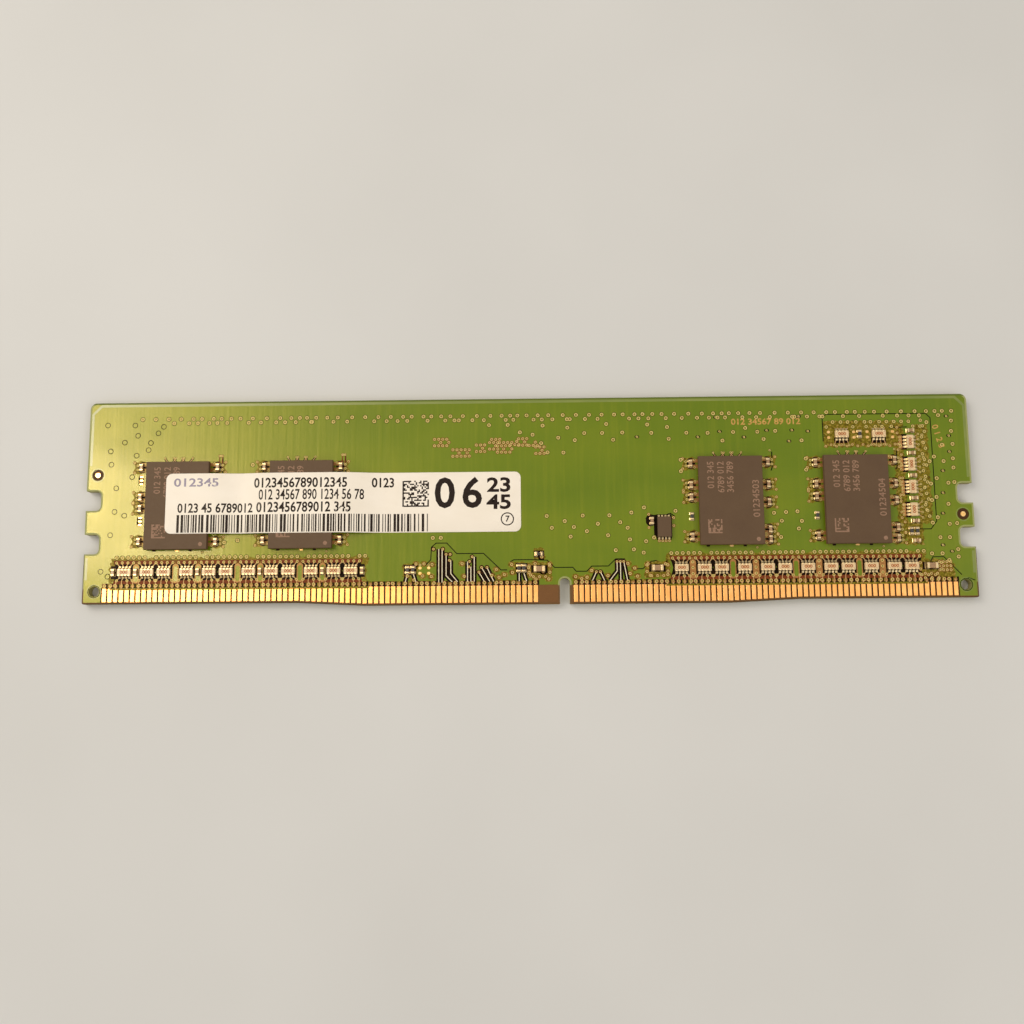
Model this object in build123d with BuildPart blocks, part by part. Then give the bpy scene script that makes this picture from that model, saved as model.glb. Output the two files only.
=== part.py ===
from build123d import *
import os

# A desktop memory module with 288 contacts (unbuffered DIMM), lying on its bare back.
# X runs along the board, Y towards the plain edge away from the contacts, Z out of the
# component side. The origin is the middle of the back face. All sizes are in millimetres.

os.makedirs("parts", exist_ok=True)

# --- board ------------------------------------------------------------------------------
BOARD_HEIGHT = 31.25           # from the lowest part of the contact edge to the plain edge
BOARD_THICKNESS = 1.40
TOP_CORNER_RADIUS = 1.0
FOOT_CORNER_RADIUS = 0.3
EDGE_STEP = 0.50               # the contact edge is this much higher towards both ends
RIM = 0.25                     # bare laminate round the outline, outside the solder mask
SKIN = 0.04                    # thickness of solder mask and of copper with its plating
EDGE_BEVEL = 0.12

# --- card-edge contacts -----------------------------------------------------------------
CONTACT_PITCH = 0.85
CONTACT_WIDTH = 0.60
CONTACT_TOP = 2.82             # top of the contacts above the lowest edge
CONTACT_SETBACK = 0.30         # from the board's edge to the foot of a contact
LEFT_CONTACTS = 77
RIGHT_CONTACTS = 67
KEY_SPACING = 5.95             # last left contact to first right contact
END_MARGIN = 3.35              # board's end to the first contact
LEFT_HIGH_PITCHES = 34         # contacts from the left end before the edge slopes down
RIGHT_HIGH_PITCHES = 27        # contacts from the right end before the edge slopes down
SLOPE_PITCHES = 12
MASK_EDGE_GAP = 0.06           # solder mask edge above the contact tops
MASK_END_GAP = 0.22            # solder mask edge beside the outermost contacts

# --- key slot, latch notches, corner holes, fiducials -----------------------------------
KEY_WIDTH = 1.50
KEY_DEPTH = 3.85
KEY_FROM_LEFT_CONTACT = 4.30   # last left contact to the middle of the key slot
NOTCH_HEIGHTS = (9.50, 16.10)  # notch centres above the lowest edge
NOTCH_WIDTH = 3.00
NOTCH_DEPTH = 2.25
NOTCH_RADIUS = 0.75
HOLE_DIAMETER = 1.60
HOLE_FROM_END = 1.80
HOLE_FROM_EDGE = 2.38
FIDUCIAL_OPENING = 1.75
FIDUCIAL_DOT = 0.75
FIDUCIAL_FROM_END = 1.60
LEFT_FIDUCIAL_HEIGHT = 20.05
RIGHT_FIDUCIAL_HEIGHT = 12.90

# --- memory packages --------------------------------------------------------------------
DRAM_WIDTH = 9.50
DRAM_LENGTH = 13.30
DRAM_CENTRE_HEIGHT = 15.20     # package centre above the lowest edge
DRAM_SPACING_PITCHES = 22
FIRST_DRAM_FROM_LEFT = 14.10
LAST_DRAM_FROM_RIGHT = 17.45
BALL_STANDOFF = 0.30
BALL_DIAMETER = 0.45
BALL_FOOT = 0.32
BALL_PITCH = 0.80
BALL_ROWS = 16
BALL_COLUMNS = 3               # on each side of the package's middle
BALL_GROUP_OFFSET = 2.40       # package centre to the middle column of a side
SUBSTRATE_THICKNESS = 0.20
MOULD_THICKNESS = 0.65
MOULD_CHAMFER = 0.05
DIE_WIDTH = 6.60
DIE_LENGTH = 10.80
DIE_THICKNESS = 0.28

# --- identification memory chip ---------------------------------------------------------
SPD_WIDTH = 2.00
SPD_LENGTH = 3.00
SPD_THICKNESS = 0.75
SPD_FROM_KEY = 14.95
SPD_CENTRE_HEIGHT = 11.33
SPD_TERMINALS = 4              # on each short side
SPD_TERMINAL_PITCH = 0.50
SPD_TERMINAL_WIDTH = 0.26
SPD_TERMINAL_LENGTH = 0.42
SPD_TERMINAL_THICKNESS = 0.20
SPD_PAD_WIDTH = 1.40
SPD_PAD_LENGTH = 1.60

# --- resistor arrays --------------------------------------------------------------------
ARRAY_LENGTH = 2.00
ARRAY_WIDTH = 1.00
ARRAY_THICKNESS = 0.45
ARRAY_TERMINALS = 4            # on each long side
ARRAY_TERMINAL_PITCH = 0.50
ARRAY_TERMINAL_WIDTH = 0.30
ARRAY_TERMINAL_WRAP = 0.22
ARRAY_TERMINAL_REACH = 0.06    # a terminal stands this far out of the ceramic
ROW_HEIGHT = 5.22              # row of arrays above the lowest edge
ROW_GROUPS = 4
ROW_GROUP_PITCHES = 11
ROW_ARRAY_STEPS = (0, 4, 7)    # in contact pitches within one group
ROW_CHIP_STEP = 2              # the single chip between the first two arrays of a group
LEFT_ROW_START = 3.5           # in contact pitches from the first contact of each side
RIGHT_ROW_START = 18.5

# --- two-terminal chips: length, width, thickness, terminal wrap ------------------------
CAPACITOR = (1.00, 0.50, 0.50, 0.25)
RESISTOR = (1.00, 0.50, 0.35, 0.22)
BULK_CAPACITOR = (1.60, 0.85, 0.80, 0.35)
TERMINAL_SKIN = 0.03
CHIP_GAP = 1.05                # package side to the middle of the chips beside it
LAST_CHIP_GAP = 1.30           # the same on the right of the fourth package
CALIBRATION_HEIGHT = -2.30     # middle of a calibration resistor from the package's centre
SPD_CAPACITOR_GAP = 0.80       # side of the identification chip to its capacitor's middle
SPD_CAPACITOR_LIFT = 0.95      # that capacitor's middle above the chip's
BULK_FROM_KEY = (-3.75, 13.80)
BULK_FROM_LAST_DRAM = 10.60

# Supply capacitors beside each package: heights of their middles from the package's centre.
LEFT_CHIP_HEIGHTS = {
    "dram_1": (5.95, 1.37, -0.35, -5.35),
    "dram_2": (5.90, 1.90, -0.35, -5.30),
    "dram_3": (5.72, 2.45, 0.60, -5.35),
    "dram_4": (5.72, 2.45, 0.60, -5.35),
}
RIGHT_CHIP_HEIGHTS = {
    "dram_1": (5.90, 2.45, -0.25, -5.45),
    "dram_2": (5.85, 2.45, -0.25, -5.30),
    "dram_3": (5.87, 2.45, -0.25, -4.35, -5.80),
    "dram_4": (5.98, 2.45, -0.10, -4.20, -5.80),
}

# Series resistors: from the key slot's middle, height above the lowest edge, turn in degrees.
CENTRE_RESISTORS = (
    (-23.45, 5.22, 90),
    (-22.62, 5.22, 90),
    (-6.78, 5.35, 90),
    (-6.05, 5.35, 90),
    (-3.80, 7.46, 0),
)

# --- corner network, above and beside the fourth package --------------------------------
CORNER_COLUMN_GAP = 3.78       # package side to the middle of the column of arrays
CORNER_ROW_GAP = 3.32          # package side to the middle of the arrays above it
CORNER_ROW_OFFSETS = (-1.62, 3.93)  # those arrays from the package's middle
COLUMN_ARRAYS = 4
COLUMN_DROP = 1.25             # from the upper arrays to the first of the column
COLUMN_STEP = 3.43
TERMINATION_CAPACITORS = 5     # one above each array of the column and one below the last
TERMINATION_SHIFT = 0.18       # middle of those capacitors from the middle of the column
TERMINATION_LIFT = 1.72        # middle of each above the middle of its array
LAST_TERMINATION_DROP = 2.95   # from the last of them to a sixth near the row of arrays
PAIR_LIFT = 1.45               # the two resistors above that sixth capacitor
PAIR_OFFSETS = (-0.50, 0.35)   # their middles from the middle of the column
TOP_RESISTOR = (1.10, 0.05)    # single resistor, from the package's middle and the upper arrays

# --- label ------------------------------------------------------------------------------
LABEL_LENGTH = 53.30
LABEL_WIDTH = 9.10
LABEL_THICKNESS = 0.10
LABEL_CORNER_RADIUS = 0.90
LABEL_FROM_LEFT = 12.52
LABEL_CENTRE_HEIGHT = 15.42
LABEL_SAG = 0.50               # between the two packages that carry it
LABEL_TENT = 8.50              # from the second package's side to where it meets the board

# --- derived places ---------------------------------------------------------------------
left_run = (LEFT_CONTACTS - 1) * CONTACT_PITCH
right_run = (RIGHT_CONTACTS - 1) * CONTACT_PITCH
board_length = END_MARGIN + left_run + KEY_SPACING + right_run + END_MARGIN
left_end = -board_length / 2
right_end = board_length / 2
low_edge = -BOARD_HEIGHT / 2
high_edge = low_edge + EDGE_STEP
plain_edge = BOARD_HEIGHT / 2
first_left_contact = left_end + END_MARGIN
last_left_contact = first_left_contact + left_run
first_right_contact = last_left_contact + KEY_SPACING
last_right_contact = first_right_contact + right_run
key_x = last_left_contact + KEY_FROM_LEFT_CONTACT
board_top = BOARD_THICKNESS
left_slope_start = first_left_contact + LEFT_HIGH_PITCHES * CONTACT_PITCH
left_slope_end = left_slope_start + SLOPE_PITCHES * CONTACT_PITCH
right_slope_end = last_right_contact - RIGHT_HIGH_PITCHES * CONTACT_PITCH
right_slope_start = right_slope_end - SLOPE_PITCHES * CONTACT_PITCH
dram_spacing = DRAM_SPACING_PITCHES * CONTACT_PITCH
first_dram = left_end + FIRST_DRAM_FROM_LEFT
last_dram = right_end - LAST_DRAM_FROM_RIGHT
dram_y = low_edge + DRAM_CENTRE_HEIGHT
row_y = low_edge + ROW_HEIGHT
substrate_bottom = board_top + BALL_STANDOFF
mould_bottom = substrate_bottom + SUBSTRATE_THICKNESS
dram_top = mould_bottom + MOULD_THICKNESS
drams = {
    "dram_1": first_dram,
    "dram_2": first_dram + dram_spacing,
    "dram_3": last_dram - dram_spacing,
    "dram_4": last_dram,
}
corner_holes = [
    (left_end + HOLE_FROM_END, low_edge + HOLE_FROM_EDGE),
    (right_end - HOLE_FROM_END, low_edge + HOLE_FROM_EDGE),
]
fiducials = [
    (left_end + FIDUCIAL_FROM_END, low_edge + LEFT_FIDUCIAL_HEIGHT),
    (right_end - FIDUCIAL_FROM_END, low_edge + RIGHT_FIDUCIAL_HEIGHT),
]


def edge_y(x):
    """Height of the contact edge at x: high at both ends, low in the middle, sloped between."""
    if x < left_slope_end:
        part_way = (left_slope_end - x) / (left_slope_end - left_slope_start)
    else:
        part_way = (x - right_slope_start) / (right_slope_end - right_slope_start)
    return low_edge + EDGE_STEP * min(max(part_way, 0), 1)


def save(solid, name):
    """Labels a finished sub-part and writes it to its own file."""
    solid.label = name
    export_step(solid, f"parts/{name}.step")


# --- board outline ----------------------------------------------------------------------
with BuildSketch() as outline:
    with BuildLine():
        Polyline(
            (left_end, plain_edge),
            (left_end, high_edge),
            (left_slope_start, high_edge),
            (left_slope_end, low_edge),
            (right_slope_start, low_edge),
            (right_slope_end, high_edge),
            (right_end, high_edge),
            (right_end, plain_edge),
            close=True,
        )
    make_face()
    end_corners = outline.vertices().filter_by_position(Axis.X, left_end, left_end)
    end_corners += outline.vertices().filter_by_position(Axis.X, right_end, right_end)
    fillet(end_corners.group_by(Axis.Y)[-1], radius=TOP_CORNER_RADIUS)
    end_corners = outline.vertices().filter_by_position(Axis.X, left_end, left_end)
    end_corners += outline.vertices().filter_by_position(Axis.X, right_end, right_end)
    fillet(end_corners.group_by(Axis.Y)[0], radius=FOOT_CORNER_RADIUS)
    for height in NOTCH_HEIGHTS:
        for end in (left_end, right_end):
            with Locations((end, low_edge + height)):
                RectangleRounded(2 * NOTCH_DEPTH, NOTCH_WIDTH, NOTCH_RADIUS, mode=Mode.SUBTRACT)
    key_top = low_edge + KEY_DEPTH
    with Locations((key_x, key_top - KEY_WIDTH / 2)):
        Circle(KEY_WIDTH / 2, mode=Mode.SUBTRACT)
        Rectangle(KEY_WIDTH, KEY_DEPTH, align=(Align.CENTER, Align.MAX), mode=Mode.SUBTRACT)

# The recess that holds mask and copper: the outline drawn in by the bare rim.
with BuildSketch() as recess:
    add(outline.sketch)
    offset(amount=-RIM, kind=Kind.INTERSECTION)

# The mask keeps clear of the contact area, the fiducials and the corner holes.
window_left = first_left_contact - CONTACT_WIDTH / 2 - MASK_END_GAP
window_right = last_right_contact + CONTACT_WIDTH / 2 + MASK_END_GAP
window_top = low_edge + CONTACT_TOP + MASK_EDGE_GAP
with BuildSketch() as mask_outline:
    add(recess.sketch)
    with Locations((window_left, window_top)):
        Rectangle(
            window_right - window_left,
            BOARD_HEIGHT,
            align=(Align.MIN, Align.MAX),
            mode=Mode.SUBTRACT,
        )
    with Locations(fiducials):
        Circle(FIDUCIAL_OPENING / 2, mode=Mode.SUBTRACT)
    with Locations(corner_holes):
        Circle(HOLE_DIAMETER / 2, mode=Mode.SUBTRACT)

# --- bare laminate, with a shallow recess in each face ----------------------------------
with BuildPart() as pcb_laminate:
    add(outline.sketch)
    extrude(amount=BOARD_THICKNESS)
    with Locations(corner_holes):
        Hole(HOLE_DIAMETER / 2)
    foot_edges = pcb_laminate.edges().filter_by(Plane.XY)
    foot_edges = foot_edges.filter_by(lambda edge: edge.center().Y < high_edge + RIM / 2)
    foot_edges = foot_edges.filter_by(lambda edge: edge.length > KEY_WIDTH)
    chamfer(foot_edges, length=EDGE_BEVEL)
    with BuildSketch(Plane.XY.offset(board_top - SKIN)):
        add(recess.sketch)
    extrude(amount=SKIN, mode=Mode.SUBTRACT)
    with BuildSketch(Plane.XY):
        add(recess.sketch)
    extrude(amount=SKIN, mode=Mode.SUBTRACT)
save(pcb_laminate.part, "pcb_laminate")

# --- solder mask, one skin on each face -------------------------------------------------
with BuildPart() as solder_mask_front:
    with BuildSketch(Plane.XY.offset(board_top - SKIN)):
        add(mask_outline.sketch)
    extrude(amount=SKIN)
save(solder_mask_front.part, "solder_mask_front")

with BuildPart() as solder_mask_back:
    with BuildSketch(Plane.XY):
        add(mask_outline.sketch)
    extrude(amount=SKIN)
save(solder_mask_back.part, "solder_mask_back")

# --- fiducial dots: bare plated copper in the mask openings -----------------------------
with BuildPart() as fiducial_dots:
    for face in (0, board_top - SKIN):
        with BuildSketch(Plane.XY.offset(face)):
            with Locations(fiducials):
                Circle(FIDUCIAL_DOT / 2)
        extrude(amount=SKIN)
save(fiducial_dots.part, "fiducial_dots")

# --- card-edge contacts -----------------------------------------------------------------
contact_top = low_edge + CONTACT_TOP
contact_runs = {
    "left": [first_left_contact + i * CONTACT_PITCH for i in range(LEFT_CONTACTS)],
    "right": [first_right_contact + i * CONTACT_PITCH for i in range(RIGHT_CONTACTS)],
}
for face, bottom in (("front", board_top - SKIN), ("back", 0)):
    for side, run in contact_runs.items():
        with BuildPart() as contacts:
            with BuildSketch(Plane.XY.offset(bottom)):
                for x in run:
                    contact_length = contact_top - edge_y(x) - CONTACT_SETBACK
                    with Locations((x, contact_top)):
                        Rectangle(CONTACT_WIDTH, contact_length, align=(Align.CENTER, Align.MAX))
            extrude(amount=SKIN)
        save(contacts.part, f"contacts_{face}_{side}")

# --- memory packages: solder balls, substrate, die and mould ----------------------------
with BuildPart() as ball:
    with BuildSketch(Plane.XZ):
        with BuildLine():
            foot = Line((0, 0), (BALL_FOOT / 2, 0))
            side = ThreePointArc(
                foot @ 1, (BALL_DIAMETER / 2, BALL_STANDOFF / 2), (BALL_FOOT / 2, BALL_STANDOFF)
            )
            head = Line(side @ 1, (0, BALL_STANDOFF))
            Line(head @ 1, foot @ 0)
        make_face()
    revolve(axis=Axis.Z)

for name, x in drams.items():
    with BuildPart() as balls:
        with Locations(
            (x - BALL_GROUP_OFFSET, dram_y, board_top),
            (x + BALL_GROUP_OFFSET, dram_y, board_top),
        ):
            with GridLocations(BALL_PITCH, BALL_PITCH, BALL_COLUMNS, BALL_ROWS):
                add(ball.part)
    save(balls.part, f"{name}_balls")

    with BuildPart() as substrate:
        with BuildSketch(Plane.XY.offset(substrate_bottom)):
            with Locations((x, dram_y)):
                Rectangle(DRAM_WIDTH, DRAM_LENGTH)
        extrude(amount=SUBSTRATE_THICKNESS)
    save(substrate.part, f"{name}_substrate")

    with BuildPart() as die:
        with BuildSketch(Plane.XY.offset(mould_bottom)):
            with Locations((x, dram_y)):
                Rectangle(DIE_WIDTH, DIE_LENGTH)
        extrude(amount=DIE_THICKNESS)
    save(die.part, f"{name}_die")

    with BuildPart() as mould:
        with BuildSketch(Plane.XY.offset(mould_bottom)):
            with Locations((x, dram_y)):
                Rectangle(DRAM_WIDTH, DRAM_LENGTH)
        extrude(amount=MOULD_THICKNESS)
        chamfer(mould.faces().sort_by(Axis.Z)[-1].edges(), length=MOULD_CHAMFER)
        add(die.part, mode=Mode.SUBTRACT)
    save(mould.part, f"{name}_mould")

# --- identification memory chip ---------------------------------------------------------
spd_x = key_x + SPD_FROM_KEY
spd_y = low_edge + SPD_CENTRE_HEIGHT
with BuildPart() as spd_terminals:
    with BuildSketch(Plane.XY.offset(board_top)):
        with Locations((spd_x, spd_y)):
            with GridLocations(
                SPD_TERMINAL_PITCH, SPD_LENGTH - SPD_TERMINAL_LENGTH, SPD_TERMINALS, 2
            ):
                Rectangle(SPD_TERMINAL_WIDTH, SPD_TERMINAL_LENGTH)
            Rectangle(SPD_PAD_WIDTH, SPD_PAD_LENGTH)
    extrude(amount=SPD_TERMINAL_THICKNESS)
save(spd_terminals.part, "spd_terminals")

with BuildPart() as spd_body:
    with BuildSketch(Plane.XY.offset(board_top)):
        with Locations((spd_x, spd_y)):
            Rectangle(SPD_WIDTH, SPD_LENGTH)
    extrude(amount=SPD_THICKNESS)
    chamfer(spd_body.faces().sort_by(Axis.Z)[-1].edges(), length=MOULD_CHAMFER)
    add(spd_terminals.part, mode=Mode.SUBTRACT)
save(spd_body.part, "spd_body")


# --- resistor arrays --------------------------------------------------------------------
def write_arrays(group, places):
    """Four-resistor arrays: ceramic blocks with four terminals let into each long side.

    Each place is x, y and the turn in degrees.
    """
    terminal_depth = ARRAY_TERMINAL_WRAP + ARRAY_TERMINAL_REACH
    terminal_spread = ARRAY_WIDTH + 2 * ARRAY_TERMINAL_REACH - terminal_depth
    with BuildPart() as terminals:
        with BuildSketch(Plane.XY.offset(board_top)):
            for x, y, turn in places:
                with Locations(Location((x, y, 0), (0, 0, turn))):
                    with GridLocations(ARRAY_TERMINAL_PITCH, terminal_spread, ARRAY_TERMINALS, 2):
                        Rectangle(ARRAY_TERMINAL_WIDTH, terminal_depth)
        extrude(amount=ARRAY_THICKNESS)
    with BuildPart() as bodies:
        with BuildSketch(Plane.XY.offset(board_top)):
            for x, y, turn in places:
                with Locations(Location((x, y, 0), (0, 0, turn))):
                    Rectangle(ARRAY_LENGTH, ARRAY_WIDTH)
                    with GridLocations(ARRAY_TERMINAL_PITCH, terminal_spread, ARRAY_TERMINALS, 2):
                        Rectangle(ARRAY_TERMINAL_WIDTH, terminal_depth, mode=Mode.SUBTRACT)
        extrude(amount=ARRAY_THICKNESS)
    save(terminals.part, f"array_terminals_{group}")
    save(bodies.part, f"array_bodies_{group}")


def row_places(side_start, start_pitches, steps):
    """Places along the row: the same steps in every group of contact pitches."""
    first = side_start + start_pitches * CONTACT_PITCH
    groups = [first + g * ROW_GROUP_PITCHES * CONTACT_PITCH for g in range(ROW_GROUPS)]
    return [(start + step * CONTACT_PITCH, row_y) for start in groups for step in steps]


left_arrays = row_places(first_left_contact, LEFT_ROW_START, ROW_ARRAY_STEPS)
right_arrays = row_places(first_right_contact, RIGHT_ROW_START, ROW_ARRAY_STEPS)
write_arrays("left", [(x, y, 0) for x, y in left_arrays])
write_arrays("right", [(x, y, 0) for x, y in right_arrays])

# Corner network: arrays in a row above the fourth package and in a column beside it.
corner_column = last_dram + DRAM_WIDTH / 2 + CORNER_COLUMN_GAP
corner_row = dram_y + DRAM_LENGTH / 2 + CORNER_ROW_GAP
column_heights = [corner_row - COLUMN_DROP - i * COLUMN_STEP for i in range(COLUMN_ARRAYS)]
column_arrays = [(corner_column, y, 90) for y in column_heights]
row_arrays = [(last_dram + x, corner_row, 0) for x in CORNER_ROW_OFFSETS]
write_arrays("corner", column_arrays + row_arrays)


# --- two-terminal chips -----------------------------------------------------------------
def write_chips(group, size, places):
    """Ceramic chips with a cup-shaped metal terminal over each end.

    Each place is x, y and the turn in degrees, 0 with the chip's length along X.
    """
    length, width, thickness, wrap = size
    with BuildPart() as bodies:
        with BuildSketch(Plane.XY.offset(board_top + TERMINAL_SKIN)):
            for x, y, turn in places:
                with Locations(Location((x, y, 0), (0, 0, turn))):
                    Rectangle(length - 2 * TERMINAL_SKIN, width - 2 * TERMINAL_SKIN)
        extrude(amount=thickness - 2 * TERMINAL_SKIN)
    with BuildPart() as terminals:
        with BuildSketch(Plane.XY.offset(board_top)):
            for x, y, turn in places:
                with Locations(Location((x, y, 0), (0, 0, turn))):
                    with GridLocations(length - wrap, 0, 2, 1):
                        Rectangle(wrap, width)
        extrude(amount=thickness)
        add(bodies.part, mode=Mode.SUBTRACT)
    save(bodies.part, f"{group}_bodies")
    save(terminals.part, f"{group}_terminals")


# Supply capacitors stand in a column on each side of every package.
for name, x in drams.items():
    left_x = x - DRAM_WIDTH / 2 - CHIP_GAP
    right_x = x + DRAM_WIDTH / 2 + (LAST_CHIP_GAP if name == "dram_4" else CHIP_GAP)
    chips = [(left_x, dram_y + height, 90) for height in LEFT_CHIP_HEIGHTS[name]]
    chips += [(right_x, dram_y + height, 90) for height in RIGHT_CHIP_HEIGHTS[name]]
    write_chips(f"{name}_capacitor", CAPACITOR, chips)

# A calibration resistor stands on the left of the third and of the fourth package.
calibration_x = [drams[name] - DRAM_WIDTH / 2 - CHIP_GAP for name in ("dram_3", "dram_4")]
calibration_y = dram_y + CALIBRATION_HEIGHT
write_chips("calibration_resistor", RESISTOR, [(x, calibration_y, 90) for x in calibration_x])

# Single capacitors stand in the left row, between the arrays and at the row's two ends.
row_chips = row_places(first_left_contact, LEFT_ROW_START, (ROW_CHIP_STEP,))
row_first = left_arrays[0][0] - ROW_CHIP_STEP * CONTACT_PITCH
row_last = left_arrays[-1][0] + ROW_CHIP_STEP * CONTACT_PITCH
row_chips += [(row_first, row_y), (row_last, row_y)]
write_chips("row_capacitor", CAPACITOR, [(x, y, 90) for x, y in row_chips])

# Termination capacitors lie between and beyond the arrays of the corner column.
termination_x = corner_column + TERMINATION_SHIFT
termination_top = column_heights[0] + TERMINATION_LIFT
termination_y = [termination_top - i * COLUMN_STEP for i in range(TERMINATION_CAPACITORS)]
termination_y.append(termination_y[-1] - LAST_TERMINATION_DROP)
write_chips("termination_capacitor", CAPACITOR, [(termination_x, y, 0) for y in termination_y])

# Corner resistors: a standing pair below the column and one between the two upper arrays.
pair_y = termination_y[-1] + PAIR_LIFT
corner_resistors = [(corner_column + x, pair_y, 90) for x in PAIR_OFFSETS]
corner_resistors.append((last_dram + TOP_RESISTOR[0], corner_row + TOP_RESISTOR[1], 90))
write_chips("corner_resistor", RESISTOR, corner_resistors)

# Series resistors near the key slot.
centre_resistors = [(key_x + x, low_edge + y, turn) for x, y, turn in CENTRE_RESISTORS]
write_chips("centre_resistor", RESISTOR, centre_resistors)

# Supply capacitor of the identification chip, on its left.
spd_capacitor_x = spd_x - SPD_WIDTH / 2 - SPD_CAPACITOR_GAP
spd_capacitor_y = spd_y + SPD_CAPACITOR_LIFT
write_chips("spd_capacitor", CAPACITOR, [(spd_capacitor_x, spd_capacitor_y, 90)])

# Larger supply capacitors, level with the rows.
bulk_x = [key_x + x for x in BULK_FROM_KEY] + [last_dram + BULK_FROM_LAST_DRAM]
write_chips("bulk_capacitor", BULK_CAPACITOR, [(x, row_y, 0) for x in bulk_x])

# --- label, over the first two packages and down onto the board -------------------------
label_left = left_end + LABEL_FROM_LEFT
first_gap_start = drams["dram_1"] + DRAM_WIDTH / 2
first_gap_end = drams["dram_2"] - DRAM_WIDTH / 2
tent_start = drams["dram_2"] + DRAM_WIDTH / 2
tent_end = tent_start + LABEL_TENT
label_right = label_left + LABEL_LENGTH


def label_line(lift):
    """Side view of one face of the label, lifted by its thickness for the upper face."""
    high = dram_top + lift
    middle = ((first_gap_start + first_gap_end) / 2, high - LABEL_SAG)
    on_first = Line((label_left, high), (first_gap_start, high))
    sag = Spline(on_first @ 1, middle, (first_gap_end, high), tangents=((1, 0), (1, 0)))
    on_second = Line(sag @ 1, (tent_start, high))
    tent = Spline(on_second @ 1, (tent_end, board_top + lift), tangents=((1, 0), (1, 0)))
    on_board = Line(tent @ 1, (label_right, board_top + lift))
    return on_board @ 1


with BuildPart() as label:
    with BuildSketch(Plane.XZ.offset(-(low_edge + LABEL_CENTRE_HEIGHT))):
        with BuildLine():
            label_line(0)
            label_line(LABEL_THICKNESS)
            Line((label_left, dram_top), (label_left, dram_top + LABEL_THICKNESS))
            Line((label_right, board_top), (label_right, board_top + LABEL_THICKNESS))
        make_face()
    extrude(amount=LABEL_WIDTH / 2, both=True)
    label_corners = label.edges().filter_by(Axis.Z)
    fillet(label_corners, radius=LABEL_CORNER_RADIUS)
save(label.part, "label")
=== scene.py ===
import bpy
import bmesh
import math
import random
from mathutils import Euler, Matrix, Vector
from mathutils.bvhtree import BVHTree


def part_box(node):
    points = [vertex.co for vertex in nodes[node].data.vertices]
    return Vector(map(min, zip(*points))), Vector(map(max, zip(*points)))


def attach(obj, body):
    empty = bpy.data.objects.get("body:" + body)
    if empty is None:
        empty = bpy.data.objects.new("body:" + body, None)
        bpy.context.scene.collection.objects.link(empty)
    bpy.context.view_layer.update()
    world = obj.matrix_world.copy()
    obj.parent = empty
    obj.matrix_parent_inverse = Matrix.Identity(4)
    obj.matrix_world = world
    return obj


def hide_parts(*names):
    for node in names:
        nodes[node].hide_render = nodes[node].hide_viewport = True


# A desktop memory module with 288 contacts, dressed round its CAD frame. Shapes are worked
# out in millimetres, in the frame's own axes, and written to meshes in metres.

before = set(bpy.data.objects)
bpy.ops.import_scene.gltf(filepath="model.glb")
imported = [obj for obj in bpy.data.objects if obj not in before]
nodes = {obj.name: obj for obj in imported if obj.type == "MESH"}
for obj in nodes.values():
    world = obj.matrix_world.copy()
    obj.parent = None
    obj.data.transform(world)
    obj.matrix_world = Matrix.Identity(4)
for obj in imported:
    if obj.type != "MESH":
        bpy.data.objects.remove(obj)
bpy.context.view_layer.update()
MM = 0.001
BODY = "root"

# --- shape sizes, millimetres ---
SINK = 0.008                  # relief starts this far inside the face it lies on
HAIR = 0.0001                 # step between the tops of shapes in one relief
HAIR_STEPS = 8
CLEARANCE_RISE = 0.0025
MARK_RISE = 0.004
PRINT_ROOM = 0.006            # the label's upper face is drawn in by this for its print
PRINT_RISE = 0.0045
BACK_ROOM = 0.014             # the back mask is drawn in by this for its tracks and collars
BACK_TRACK_RISE = 0.009
BACK_COLLAR_RISE = 0.013
RAGGED_STEP = 0.45            # spacing and depth of the teeth of a ragged edge
RAGGED_REACH = 0.16
VIA_RADIUS = 0.30
SMALL_VIA = 0.17
CLOSE_VIA = 0.20
TRACE = 0.13                  # width of a track
SPLIT = 0.17                  # width of the gaps between copper areas
CAD_SEAM = 0.0005             # points nearer than this are one point
GLYPH_SEAM = 0.0001
SHARP_ANGLE = 0.6             # radians between the faces of an edge that gets rounded
MIX_FACTOR, MIX_FIRST, MIX_SECOND, MIX_RESULT = 0, 6, 7, 2  # the Mix node's colour sockets


# --- places that come from the frame ---
def box(node):
    """Lowest and highest corner of a CAD node, in millimetres."""
    low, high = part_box(node)
    return low / MM, high / MM


def islands(node):
    """Lowest and highest corner of each separate solid in a CAD node, from left to right."""
    shape = welded(node)
    waiting = set(shape.verts)
    found = []
    while waiting:
        reached = [waiting.pop()]
        points = []
        while reached:
            vert = reached.pop()
            points.append(vert.co / MM)
            for edge in vert.link_edges:
                other = edge.other_vert(vert)
                if other in waiting:
                    waiting.remove(other)
                    reached.append(other)
        low = Vector([min(p[axis] for p in points) for axis in range(3)])
        high = Vector([max(p[axis] for p in points) for axis in range(3)])
        found.append((low, high))
    shape.free()
    return sorted(found, key=lambda pair: (round(pair[0].x, 3), round(pair[0].y, 3)))


def welded(node):
    """The node's mesh with the seams between its faces joined."""
    shape = bmesh.new()
    shape.from_mesh(nodes[node].data)
    bmesh.ops.remove_doubles(shape, verts=shape.verts, dist=CAD_SEAM * MM)
    return shape


def middle(pair):
    low, high = pair
    return (low + high) / 2


def stands(pair):
    """Whether a solid is longer across the board than along it."""
    low, high = pair
    return high.y - low.y > high.x - low.x


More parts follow.
